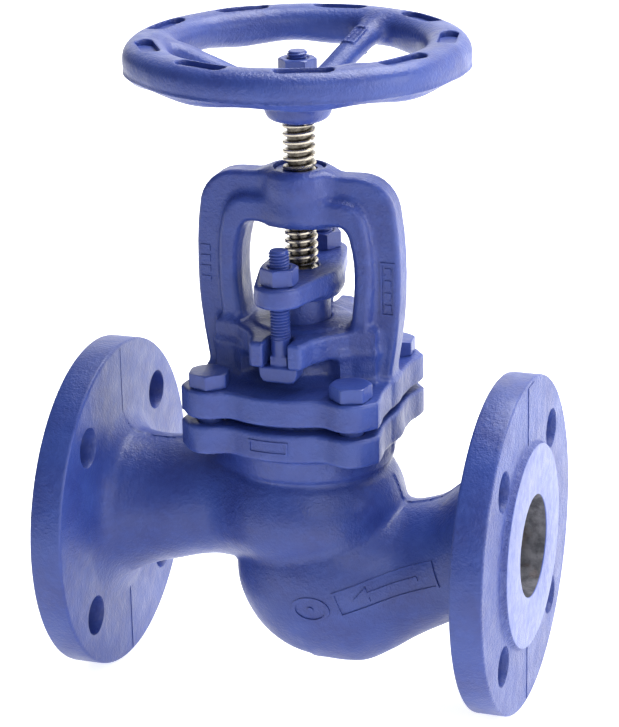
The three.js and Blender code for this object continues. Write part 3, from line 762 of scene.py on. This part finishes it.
def body_field(x, y, z):
    """The body without its flanges, which are joined to it later."""
    screws = np.hypot(np.abs(x) - LOBE_AT, np.abs(y) - LOBE_AT) - SCREW_BORE_R
    screws = np.maximum(screws, slab(z, 40, 64))
    wide_end = np.maximum(np.hypot(y, z) - 26.0, 94 - np.abs(x))
    holes = np.hypot(np.abs(y) - HOLE_AT, np.abs(z) - HOLE_AT) - 11.3
    holes = np.maximum(holes, 90 - np.abs(x))
    cut = np.minimum(np.minimum(np.minimum(wide_end, screws), holes), body_inside(x, y, z))
    return blend_cut(body_outside(x, y, z), -cut, 1.0)


# The casting's parting line: ridges on both faces, and a strip on the outer face. The ends
# of each block are given along X, Y and Z.
FLANGE_SEAMS = [
    ((95.82, 97.0), (-0.45, 0.45), (46.0, 81.0)),
    ((95.7, 97.0), (-0.5, 0.5), (-81.0, -46.0)),
    ((111.0, 112.3), (-0.4, 0.4), (-81.0, -50.8)),
    ((111.0, 112.35), (-0.6, 10.5), (50.8, 80.0)),
]
# Corners of a profile: radius, X, and how far before the corner its rounding starts.
FLANGE_PROFILE = [
    (BORE_R, FLANGE_BACK, 0),
    (FLANGE_R, FLANGE_BACK, 1.6),
    (FLANGE_R, FLANGE_FACE, 1.2),
    (RAISED_R + 1.5, FLANGE_FACE, 1.0),
    (RAISED_R, RAISED_FACE, 0.5),
    (BORE_R, RAISED_FACE, 0.5),
]
# A bolt hole with eased ends: radius and X.
BOLT_HOLE = [(0, 94), (11.2, 94), (9.5, 96.8), (9.5, 111.2), (10.7, 113.2), (10.7, 114), (0, 114)]


def pipe_flange(side):
    """A turned flange ring with its bolt holes and the parting lines on its faces."""
    profile = [(r, side * x) for r, x in rounded(FLANGE_PROFILE, 1.0)]
    ring = turned_solid("flange", profile, 144)
    for k in range(4):
        hole = turned_solid("hole", BOLT_HOLE, 48)
        a = math.radians(45 + 90 * k)
        centre = (BOLT_CIRCLE_R * math.cos(a), BOLT_CIRCLE_R * math.sin(a), 0)
        hole.data.transform(Matrix.Translation(centre))
        if side < 0:
            hole.data.transform(Matrix.Scale(-1, 4, (0, 0, 1)))
            hole.data.flip_normals()
        ring = combine(ring, hole, "DIFFERENCE")
    ring.data.transform(Matrix.Rotation(math.pi / 2, 4, "Y"))
    for x, y, z in FLANGE_SEAMS:
        ends = sorted(side * v for v in x)
        ring = combine(ring, block(ends, y, z), "UNION")
    return ring


def body_faces(x, y, z):
    """0 for painted casting, 1 for a turned face, 2 for the bare inside, 3 for rough sand."""
    ax, r = np.abs(x), np.hypot(y, z)
    faced = (ax > RAISED_FACE - 0.5) & (r < RAISED_R + 0.1)
    rough = (ax > FLANGE_FACE - 0.7) & ~faced
    bare = (np.abs(body_inside(x, y, z)) < 1.2) & (z < 59) & (r < 60) & (ax < RAISED_FACE - 0.6)
    return np.where(bare, 2, np.where(faced, 1, np.where(rough, 3, 0)))


# ---- bonnet and yoke ----
def half_arch(side, corner):
    """The half outline of the arch in |X| and Z, closed below and across the middle."""
    zs = [z for _, z in side]
    path = curve(zs, [x for x, _ in side])
    points = [(float(path(z)), z) for z in np.linspace(zs[0], zs[-1], 9)]
    (x0, z0), (x1, z1) = points[-1], (corner["x"], corner["z"])
    low_pull, high_pull = corner["pull"]
    bend = [(x0, z0), (x0 - low_pull, z0 + corner["rise"]), (x1 + high_pull, z1), (x1, z1)]
    for t in np.linspace(0, 1, 8)[1:]:
        w = ((1 - t) ** 3, 3 * t * (1 - t) ** 2, 3 * t * t * (1 - t), t**3)
        points.append(tuple(sum(k * p[a] for k, p in zip(w, bend)) for a in range(2)))
    return [*points, (FAR, points[-1][1]), (FAR, points[0][1])]


YOKE_OUTER = half_arch(
    [(45, 76), (49, 100), (51, 128), (50.2, 150), (48.6, 163)],
    {"x": 30, "z": 178, "pull": (2, 9), "rise": 9},
)
YOKE_STEP = half_arch(
    [(33, 76), (36.6, 104), (38.5, 130), (37.8, 146), (35.8, 156)],
    {"x": 24, "z": 167, "pull": (2, 6), "rise": 7},
)
YOKE_WINDOW = half_arch(
    [(27, 103.5), (29, 118), (29.5, 132), (28.6, 142), (27.2, 148.5)],
    {"x": 21.5, "z": 154.5, "pull": (1, 2.5), "rise": 4},
)
TABLE_QUARTER = [
    (FAR, FAR), (40, FAR), (40, 12), (33, 12.6), (28, 15.5), (20, 23.5), (15.5, 31), (13, 40),
    (11.6, 41), (FAR, 41),
]
FOOT_QUARTER = [(FAR, FAR), (40, FAR), (40, 12), (30, 15.5), (25, 19.5), (18, 15), (FAR, 15)]
TOWER = [(FAR, 76), (27, 76), (27, 79.5), (23.4, 83.2), (22, 87), (22, 105), (FAR, 105)]
BOSS = [(153.5, 15.9), (156, 17.1), (166, 17.3), (175, 17.4), (178.5, 16.6), (180.5, 14.6)]
# The bonnet's bores: radius, and the heights between which each one runs.
BONNET_BORES = [
    (13.2, (55, 66.3)), (8.7, (55, 72)), (14, (70, 110)), (9.4, (150, 157)),
    (12.6, (155.9, 190)),
]
BONNET_PLATE = {"plate_r": 48.0, "lobe_r": 11.8, "low": 66.0, "high": BONNET_FACE, "edge": 1.4}
WEB_HALF, BAND_HALF = 7, 12  # of the arch's thickness along Y
TABLE, FOOT = (92.5, 105), (77, 95)
SPIGOT_R, SPIGOT = 40.5, (61.8, 70)
SLOT_R, SLOT = 6.2, (87.5, 110)
SCREW_HOLE_R, SCREW_HOLE = 6.75, (60, 90)
ARM_FRAME = {"x": 45.2, "z": 125.0, "length": 6.4, "height": 25.4, "pitch": 6.0}
ARM_PADS = {"x": -46.2, "z": 131.0, "pitch": 5.2}
PADS = [-1.5, -0.5, 0.5, 1.5]  # places of the pads, in pitches
YOKE_MARK_STEP = 0.32


def yoke_field(x, y, z):
    ax, ay = np.abs(x), np.abs(y)
    r = np.hypot(x, y)
    window = outline(ax, z, YOKE_WINDOW)
    web = raised(blend_cut(outline(ax, z, YOKE_OUTER), -window, 2.0), y, -WEB_HALF, WEB_HALF, 2.4)
    band = blend_cut(outline(ax, z, YOKE_STEP), -window, 2.5)
    band = raised(band, y, -BAND_HALF, BAND_HALF, 3.2)
    boss = barrel(x, y, z, BOSS, 1.5)
    arch = blend_in(blend_in(web, band, 4.0), boss, 5.0) + unevenness(x, y, z, 0.12)
    plate = lobed_plate(x, y, z, **BONNET_PLATE)
    tower = outline(r, z, TOWER)
    table = raised(outline(ax, ay, TABLE_QUARTER), z, *TABLE, 1.8)
    foot = raised(outline(ax, ay, FOOT_QUARTER), z, *FOOT, 1.2)
    base = blend_in(blend_in(tower, foot, 4.0), table, 4.0)
    base = blend_in(base, plate, 5.0)
    solid = blend_in(base, arch, 5.0)
    solid = np.minimum(solid, np.maximum(r - SPIGOT_R, slab(z, *SPIGOT)))
    to_slot = np.where(ay > GLAND_BOLT_AT, ax, np.inf)
    to_slot = np.minimum(np.hypot(x, ay - GLAND_BOLT_AT), to_slot)
    slots = np.maximum(to_slot - SLOT_R, slab(z, *SLOT))
    screws = np.hypot(ax - LOBE_AT, ay - LOBE_AT) - SCREW_HOLE_R
    screws = np.maximum(screws, slab(z, *SCREW_HOLE))
    bores = np.minimum.reduce([np.maximum(r - size, slab(z, *ends)) for size, ends in BONNET_BORES])
    return blend_cut(blend_cut(solid, -slots, 1.2), -np.minimum(bores, screws), 0.7)


def arm_frame(x, y, z):
    """A frame with four blank pads on the right leg."""
    u, v = x - ARM_FRAME["x"], z - ARM_FRAME["z"]
    plan = frame_line(u, v, ARM_FRAME["length"], ARM_FRAME["height"], 1.1)
    for pad in PADS:
        pad = np.maximum(np.abs(u) - 1.6, np.abs(v - ARM_FRAME["pitch"] * pad) - 1.5)
        plan = np.minimum(plan, pad)
    return np.maximum(plan, slab(y, -WEB_HALF - 0.6, 1 - WEB_HALF))


def arm_pads(x, y, z):
    """Four blank pads on the left leg."""
    pads = [np.abs(z - ARM_PADS["z"] - ARM_PADS["pitch"] * pad) - 1.6 for pad in PADS]
    plan = np.maximum(np.abs(x - ARM_PADS["x"]) - 2.4, np.minimum.reduce(pads))
    return np.maximum(plan, slab(y, -WEB_HALF - 0.45, 1 - WEB_HALF))


YOKE_MARKS = [
    (arm_frame, (41, -8, 111), (50, -5.5, 139), YOKE_MARK_STEP),
    (arm_pads, (-50, -8, 120), (-42.5, -5.5, 142), YOKE_MARK_STEP),
]

# ---- handwheel ----
# Rows of a duct along the spoke, and of a barrel for the hub.
SPOKE = [
    (4, 212.2, 7.6, 6.4), (20, 218.2, 6.6, 5.8), (40, 227.2, 6.5, 5.7), (56, 233.6, 7.2, 6),
    (66, 235, 8, 6),
]
HUB = [(WHEEL_BOTTOM, 13.4), (205, 14.8), (211, 16.4), (215, 16.9), (219.5, 15.5), (HUB_TOP, 13.2)]
GRIPS = 9
RIM = {"r": 70.5, "z": 234.6, "half_width": 11.0, "up": 8.5, "down": 8.6, "lump": 1.9, "power": 2.4}
POCKET = {"r": 70.3, "half_length": 9.3, "end_r": 4.3, "floor": 240.2}
RIM_SEAM = {"z": 229.4, "height": 0.6}
WHEEL_SQUARE = 6  # half the size of the hole for the stem's square
SPOKE_MARK = {"r": 45, "length": 11.0, "width": 5.8}


def turned_by(x, y, start, count):
    """The point turned into the first of count equal sectors, which points along X."""
    step = 2 * math.pi / count
    angle = np.arctan2(y, x) - math.radians(start)
    folded = angle - np.round(angle / step) * step
    r = np.hypot(x, y)
    return r * np.cos(folded), r * np.sin(folded)


def wheel_field(x, y, z):
    r, angle = np.hypot(x, y), np.arctan2(y, x) - math.radians(GRIP_AT)
    lump = 0.5 + 0.5 * np.cos(GRIPS * angle)
    tall = np.where(z < RIM["z"], RIM["down"] + RIM["lump"] * lump, RIM["up"])
    wide = RIM["half_width"] - 0.35 * (1 - lump)
    u, v = np.abs(r - RIM["r"]) / wide, np.abs(z - RIM["z"]) / tall
    power = RIM["power"]
    rim = ((u**power + v**power) ** (1 / power) - 1) * RIM["up"]
    seam = RIM_SEAM["height"] * np.exp(-((z - RIM_SEAM["z"]) ** 2)) * (r > RIM["r"] + 0.5)
    px, py = turned_by(x, y, GRIP_AT, GRIPS)
    along = np.maximum(np.abs(py) - POCKET["half_length"], 0)
    pocket = np.hypot(px - POCKET["r"], along) - POCKET["end_r"]
    pocket = np.maximum(pocket, POCKET["floor"] - z)
    sx, sy = turned_by(x, y, SPOKE_AT, 3)
    spokes = duct(sx, sy, z, SPOKE, 1.0)
    hub = barrel(x, y, z, HUB, 1.5)
    body = blend_in(blend_in(spokes, hub, 4.0), rim - seam, 5.0) + unevenness(x, y, z, 0.12)
    body = blend_cut(body, -pocket, 1.0)
    socket = np.maximum(np.maximum(np.abs(x), np.abs(y)) - WHEEL_SQUARE, slab(z, 198, 230))
    turn = math.radians(SPOKE_AT)
    mark_u = x * math.cos(turn) + y * math.sin(turn) - SPOKE_MARK["r"]
    mark_v = y * math.cos(turn) - x * math.sin(turn)
    mark = frame_line(mark_u, mark_v, SPOKE_MARK["length"], SPOKE_MARK["width"], 1.2)
    mark = np.maximum(np.maximum(mark, body - 0.7), 225 - z)
    body = blend_in(body, mark, 0.5)
    return blend_cut(body, -socket, 0.8)


# ---- gland ----
GLAND_QUARTER = [(FAR, FAR), (19.5, FAR), (19.3, 4), (18.3, 9), (11.82, 34.1), (FAR, 34.1)]
GLAND = {"low": 122, "high": 132, "edge": 1.8}
GLAND_HUB = [(118, 17.6), (120, 18.6), (124, 19.2)]
EAR_R, EAR_HOLE_R = 12, 5.7
SLEEVE_R, SLEEVE_BORE_R, SLEEVE = 13.7, 8.4, (100.7, 121)
HAMMER_SIDE = [(9.5, 92.2), (9.5, 89), (8.9, 86.5), (7.6, 84.9), (5.4, 84.3)]


def gland_field(x, y, z):
    r = np.hypot(x, y)
    to_bolt = np.hypot(x, np.abs(y) - GLAND_BOLT_AT)
    plan = np.minimum(to_bolt - EAR_R, outline(np.abs(x), np.abs(y), GLAND_QUARTER))
    oval = raised(plan, z, **GLAND)
    hub = barrel(x, y, z, GLAND_HUB, 1.2)
    sleeve = np.maximum(r - SLEEVE_R, slab(z, *SLEEVE))
    solid = np.minimum(blend_in(oval, hub, 5.0), sleeve) + unevenness(x, y, z, 0.06) * (z > 117)
    bores = np.minimum(r - SLEEVE_BORE_R, to_bolt - EAR_HOLE_R)
    return blend_cut(solid, -bores, 0.9)


def hammer_field(x, y, z):
    """A gland bolt's head and its square neck, about its own axis."""
    side = [(FAR, 92.2), *HAMMER_SIDE, (FAR, 84.3)]
    head = raised(outline(np.abs(x), z, side), y, -5.5, 5.5, 1.0)
    neck = raised(np.maximum(np.abs(x), np.abs(y)) - 4, z, 88, 97.5, 0.8)
    root = np.maximum(np.hypot(x, y) - 4.5, slab(z, 90, 106))
    return blend_in(blend_in(head, neck, 1.2), root, 0.8)


# ---- bolts and nuts ----
M12_FLATS, M12_TOP = 18, 87.0
M10_FLATS = 16


def screw_field(turn):
    """A hexagon head screw about its own axis."""

    def field(x, y, z):
        r = np.hypot(x, y)
        sides = hexagon(x, y, M12_FLATS, turn)
        cone = (r - 9.1 + (z - M12_TOP) * 1.7) * 0.5
        head = blend_cut(np.maximum(sides, cone), slab(z, BONNET_FACE + 0.4, M12_TOP), 0.5)
        washer = np.maximum(r - 8.7, slab(z, 79.55, 80.4))
        shank = np.maximum(r - 6, slab(z, 49.5, 81))
        return np.minimum(np.minimum(blend_cut(head, r - 10.2, 0.4), washer), shank)

    return field


def nut_field(base, turn):
    """A hexagon nut about its own axis."""

    def field(x, y, z):
        r = np.hypot(x, y)
        middle = base + NUT_HEIGHT / 2
        cone = (r - 8.1 + (np.abs(z - middle) - NUT_HEIGHT / 2) * 1.7) * 0.5
        nut = np.maximum(hexagon(x, y, M10_FLATS, turn), cone)
        nut = blend_cut(nut, slab(z, base, base + NUT_HEIGHT), 0.4)
        lead = r - 5.15 - np.maximum(np.abs(z - middle) - 3.3, 0)
        return blend_cut(nut, -lead, 0.3)

    return field


def moved(field, dx, dy):
    return lambda x, y, z: field(x - dx, y - dy, z)


# ---- the painted pieces ----
def body():
    points, faces = contour(body_field, (-104, -67, -72), (104, 67, 67), 1.15)
    casting = solid_of(points, faces, "casting")
    for side in (1, -1):
        casting = combine(casting, pipe_flange(side), "UNION")
    casting = add_marks(casting, BODY_MARKS)
    finishes = [CASTING, FACED, BARE, ROUGH_SAND]
    piece = place_solid(casting, "valve_body", "root", "casting_paint", finishes, sharp=50)
    pick_faces(piece.data, body_faces)


def yoke():
    points, faces = contour(yoke_field, (-52, -50, 61), (52, 50, 183), 0.9)
    casting = add_marks(solid_of(points, faces, "yoke"), YOKE_MARKS)
    place_solid(casting, "bonnet_yoke", "root", "casting_paint", [CASTING], sharp=50)


body()
yoke()
wheel_box = ((-83, -83, 203), (83, 83, 244))
cast("handwheel", "spindle", "casting_paint", CASTING, wheel_field, *wheel_box, 0.8)
gland_box = ((-20, -45, 100), (20, 45, 133))
cast("gland_follower", "gland", "casting_paint", CASTING, gland_field, *gland_box, 0.6)

SCREW_TURNS = (35, 16, 40, 22)
CORNERS = ((1, 1), (-1, 1), (-1, -1), (1, -1))
for number, (turn, (sx, sy)) in enumerate(zip(SCREW_TURNS, CORNERS), 1):
    cx, cy = sx * LOBE_AT, sy * LOBE_AT
    box = ((cx - 11, cy - 11, 49), (cx + 11, cy + 11, 88))
    screw = moved(screw_field(turn), cx, cy)
    cast(f"bonnet_bolt_{number}", "root", "fastener_paint", SMOOTHER, screw, *box, 0.45, sharp=35)

NUTS = (
    ("gland_nut_front", "nut_front", -GLAND_BOLT_AT, NUT_SEAT, 30),
    ("gland_nut_back", "nut_back", GLAND_BOLT_AT, NUT_SEAT, 2),
    ("handwheel_nut", "spindle", 0.0, HUB_TOP + 2.1, 12),
)
for node, body, y, base, turn in NUTS:
    box = ((-10, y - 10, base - 1), (10, y + 10, base + 9))
    nut = moved(nut_field(base, turn), 0, y)
    cast(node, body, "fastener_paint", SMOOTHER, nut, *box, 0.4, sharp=35)

# ---- threads ----
M10_PITCH = 1.5
M10_RIDGE = [(4.03, -0.72), (4.85, -0.12), (4.85, 0.12), (4.03, 0.72)]


GLAND_THREAD = [
    (0, 104), (4.05, 104), (4.85, 105), (4.9, 106), (4.9, 147.2), (3.9, 148.4), (0, 148.4),
]


def gland_bolt(node, y):
    rod = threaded_rod(M10_RIDGE, M10_PITCH, 104.0, 98.0, 148.5, 40)
    rod = combine(rod, turned_solid("ends", GLAND_THREAD), "INTERSECT")
    points, faces = contour(hammer_field, (-11, -7, 83), (11, 7, 107), 0.5)
    bolt = combine(rod, solid_of(points, faces, "hammer"), "UNION")
    place_solid(bolt, node, "root", "fastener_paint", [SMOOTHER], y)


gland_bolt("gland_bolt_front", -GLAND_BOLT_AT)
gland_bolt("gland_bolt_back", GLAND_BOLT_AT)

STEM_CORE, STEM_R, STEM_PITCH = 5.75, 8.0, 4.0
THREAD_FROM, THREAD_TO = 134.0, 202.6
HALF_PITCH_R = STEM_R - STEM_PITCH / 4
FLANK = 2 * math.tan(math.radians(15))


def ridge_width(r):
    """How high the trapezoid thread's ridge is at the radius r."""
    return STEM_PITCH / 2 - FLANK * (r - HALF_PITCH_R)


# The button, the backseat collar and the packing surface: radius and height.
SHAFT = [
    (0, 1.5), (8.5, 1.5), (9.3, 1.9), (9.5, 2.5), (9.5, 6.2), (9.2, 6.5), (6.2, 6.5), (6.2, 22),
    (STEM_R, 24), (STEM_R, 30), (11, 30), (11.5, 30.5), (11.5, 36), (STEM_R, 39.5),
    (STEM_R, 131), (STEM_CORE, 132.8), (STEM_CORE, 134.6), (0, 134.6),
]
THREAD_ENDS = [
    (0, THREAD_FROM), (8.2, THREAD_FROM), (8.2, THREAD_TO - 1.4), (6.4, THREAD_TO),
    (0, THREAD_TO),
]
SQUARE = [(0, 202), (8.1, 202), (8.1, 221), (7.4, 221.8), (0, 221.8)]
TIP = [(0, 221), (4.9, 221), (4.9, STEM_TOP - 1.1), (3.9, STEM_TOP), (0, STEM_TOP)]


def stem():
    ridge = ridge_profile(STEM_CORE, STEM_R, ridge_width(STEM_CORE), ridge_width(STEM_R))
    thread = threaded_rod(ridge, STEM_PITCH, THREAD_FROM, THREAD_FROM - 1, THREAD_TO, 56)
    thread = combine(thread, turned_solid("ends", THREAD_ENDS), "INTERSECT")
    shaft = turned_solid("shaft", SHAFT, 80)
    square = turned_solid("square", SQUARE, 4)
    square.data.transform(Matrix.Rotation(math.radians(45), 4, "Z"))
    tip = threaded_rod(M10_RIDGE, M10_PITCH, 223, 217, 237, 40)
    tip = combine(tip, turned_solid("tip_ends", TIP), "INTERSECT")
    made = combine(combine(combine(thread, shaft, "UNION"), square, "UNION"), tip, "UNION")
    piece = place_solid(made, "stem", "spindle", "stem_steel", [STEM_STEEL, SMOOTHER], sharp=35)
    pick_faces(piece.data, lambda x, y, z: (z > HUB_TOP + 2.2) * 1)


stem()

BUSH = [(0, 156), (11.9, 156), (12.3, 156.4), (12.3, 178.2), (11.3, 179.2), (0, 179.2)]
BUSH_CREST, BUSH_ROOT, BUSH_PLAY = 6.6, 8.7, 0.7


def bush():
    crest, root = ((ridge_width(r) + BUSH_PLAY) / 2 for r in (BUSH_CREST, BUSH_ROOT))
    ridge = [(BUSH_CREST, -crest), (BUSH_ROOT, -root), (BUSH_ROOT, root), (BUSH_CREST, crest)]
    tool = threaded_rod(ridge, STEM_PITCH, THREAD_FROM, 150, 185, 56)
    made = combine(turned_solid("blank", BUSH, 80), tool, "DIFFERENCE")
    piece = place_solid(made, "yoke_bush", "root", "bush_brass", [BRASS, SMOOTHER], sharp=35)
    pick_faces(piece.data, lambda x, y, z: (z > 178.3) * 1)


bush()


# ---- turned pieces inside and the washer ----
def ring_profile(inner, outer, low, high):
    return [(inner, low), (outer, low), (outer, high), (inner, high)]


SEAT = [
    (23.5, -14), (27, -14), (27, -5.9), (30, -5.9), (30, -3.5), (29.5, -3), (26.5, -3),
    (23.5, -6),
]
DISC = [
    (0, -9), (20, -9), (22.4, -7.5), (22.9, -6.15), (26.5, -2.55), (29, -1.55), (29, 5),
    (26, 8), (15, 9.5), (14.5, 10.5), (14.5, 18), (11.2, 18), (11.2, 1.2), (0, 1.2),
]
BACKSEAT = [(11.9, 56.3), (16, 56.3), (16, 61.5), (13, 61.5), (13, 66.1), (8.4, 66.1), (8.4, 59.9)]
GASKET = ring_profile(35, 40.5, 59.6, 61.6)
PACKING_WASHER = ring_profile(PACKING_BORE_R, PACKING_R, 70.1, 72)
WHEEL_WASHER = ring_profile(5.3, 10.5, HUB_TOP + 0.1, HUB_TOP + 2.0)
TURNED = [
    ("seat_ring", "root", "trim_steel", TRIM_STEEL, SEAT),
    ("valve_disc", "disc", "trim_steel", TRIM_STEEL, DISC),
    ("backseat_bush", "root", "trim_steel", TRIM_STEEL, BACKSEAT),
    ("bonnet_gasket", "root", "graphite", GRAPHITE, GASKET),
    ("packing_washer", "root", "trim_steel", TRIM_STEEL, PACKING_WASHER),
    ("handwheel_washer", "spindle", "fastener_paint", SMOOTHER, WHEEL_WASHER),
]
PACKING_FOOT, PACKING_PITCH, PACKING_RING = 72.05, 5.7, 5.65
for index in range(5):
    foot = PACKING_FOOT + PACKING_PITCH * index
    profile = ring_profile(PACKING_BORE_R, PACKING_R, foot, foot + PACKING_RING)
    TURNED.append((f"packing_ring_{index + 1}", "root", "graphite", GRAPHITE, profile))
for node, body, slot, material, profile in TURNED:
    lathe(node, body, slot, material, profile)


HALF_RING = {"outer": 10.9, "inner": 6.6, "low": 6.9, "high": 9.8, "gap": 0.15}
DISC_NUT = {"flats": 25, "head": (18.3, 22.5), "thread": (10, 19), "r": 10.9, "bore_r": 9.8}


def half_ring_field(side):
    """Half of the ring that holds the stem's button in the disc."""

    def field(x, y, z):
        r = np.hypot(x, y)
        ring = np.maximum(r - HALF_RING["outer"], HALF_RING["inner"] - r)
        ring = np.maximum(ring, slab(z, HALF_RING["low"], HALF_RING["high"]))
        return blend_cut(ring, HALF_RING["gap"] - side * y, 0.3)

    return field


def disc_nut_field(x, y, z):
    r = np.hypot(x, y)
    head = np.maximum(hexagon(x, y, DISC_NUT["flats"], 0), r - 13.9)
    head = np.maximum(head, slab(z, *DISC_NUT["head"]))
    thread = np.maximum(r - DISC_NUT["r"], slab(z, *DISC_NUT["thread"]))
    return blend_cut(np.minimum(head, thread), DISC_NUT["bore_r"] - r, 0.3)


INSIDE_THE_DISC = (
    ("split_ring_back", half_ring_field(1), (-12, 0, 6), (12, 12, 10.5), 0.4),
    ("split_ring_front", half_ring_field(-1), (-12, -12, 6), (12, 0, 10.5), 0.4),
    ("disc_nut", disc_nut_field, (-15, -15, 9), (15, 15, 23.5), 0.5),
)
for node, field, low, high, step in INSIDE_THE_DISC:
    cast(node, "disc", "trim_steel", TRIM_STEEL, field, low, high, step, sharp=35)

# ---- stage ----
FLOOR_HALF = 6.0  # in metres, as all the numbers of the stage are
LIGHT_AIM = (0, 0, 0.17)


def make_floor():
    mesh = bpy.data.meshes.new("floor")
    signs = ((-1, -1), (1, -1), (1, 1), (-1, 1))
    corners = [(sx * FLOOR_HALF, sy * FLOOR_HALF, 0) for sx, sy in signs]
    mesh.from_pydata(corners, [], [(0, 1, 2, 3)])
    floor = add_object("floor", mesh)
    s = Surface(
        "floor",
        Base_Color=(0.92, 0.92, 0.92, 1.0),
        Roughness=0.9,
        Specular_IOR_Level=0.1,
        Emission_Color=(1.0, 1.0, 1.0, 1.0),
        Emission_Strength=0.75,
    )
    mesh.materials.append(s.material)
    floor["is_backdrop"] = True


def make_light(name, place, size, power):
    data = bpy.data.lights.new(name, "AREA")
    data.shape = "RECTANGLE"
    data.size, data.size_y = size
    data.energy = power
    light = add_object(name, data)
    light.location = place
    light.visible_camera = False
    light.rotation_euler = (Vector(LIGHT_AIM) - Vector(place)).to_track_quat("-Z", "Y").to_euler()


def make_world():
    world = bpy.data.worlds.new("studio")
    world.use_nodes = True
    background = world.node_tree.nodes["Background"]
    background.inputs["Color"].default_value = (1.0, 1.0, 1.0, 1.0)
    background.inputs["Strength"].default_value = 0.19
    bpy.context.scene.world = world
    bpy.context.scene.view_settings.view_transform = "Standard"


# Name, place, size and watts.
LIGHTS = [
    ("back_right_panel", (1.3, 1.5, 0.5), (2.0, 1.4), 23),
    ("backdrop_panel", (-0.6, 1.9, 0.75), (2.2, 1.2), 14),
    ("back_top_panel", (0.3, 0.5, 1.45), (1.3, 0.9), 34),
    ("right_softbox", (1.9, -0.3, 0.6), (1.0, 1.0), 20),
    ("front_softbox", (0.9, -1.6, 1.0), (1.2, 0.9), 12),
]
make_floor()
for light in LIGHTS:
    make_light(*light)
make_world()
make_camera()

boxes = {"cad": cad_box, "visual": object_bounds()}
{name: [list(map(float, corner)) for corner in box] for name, box in boxes.items()}
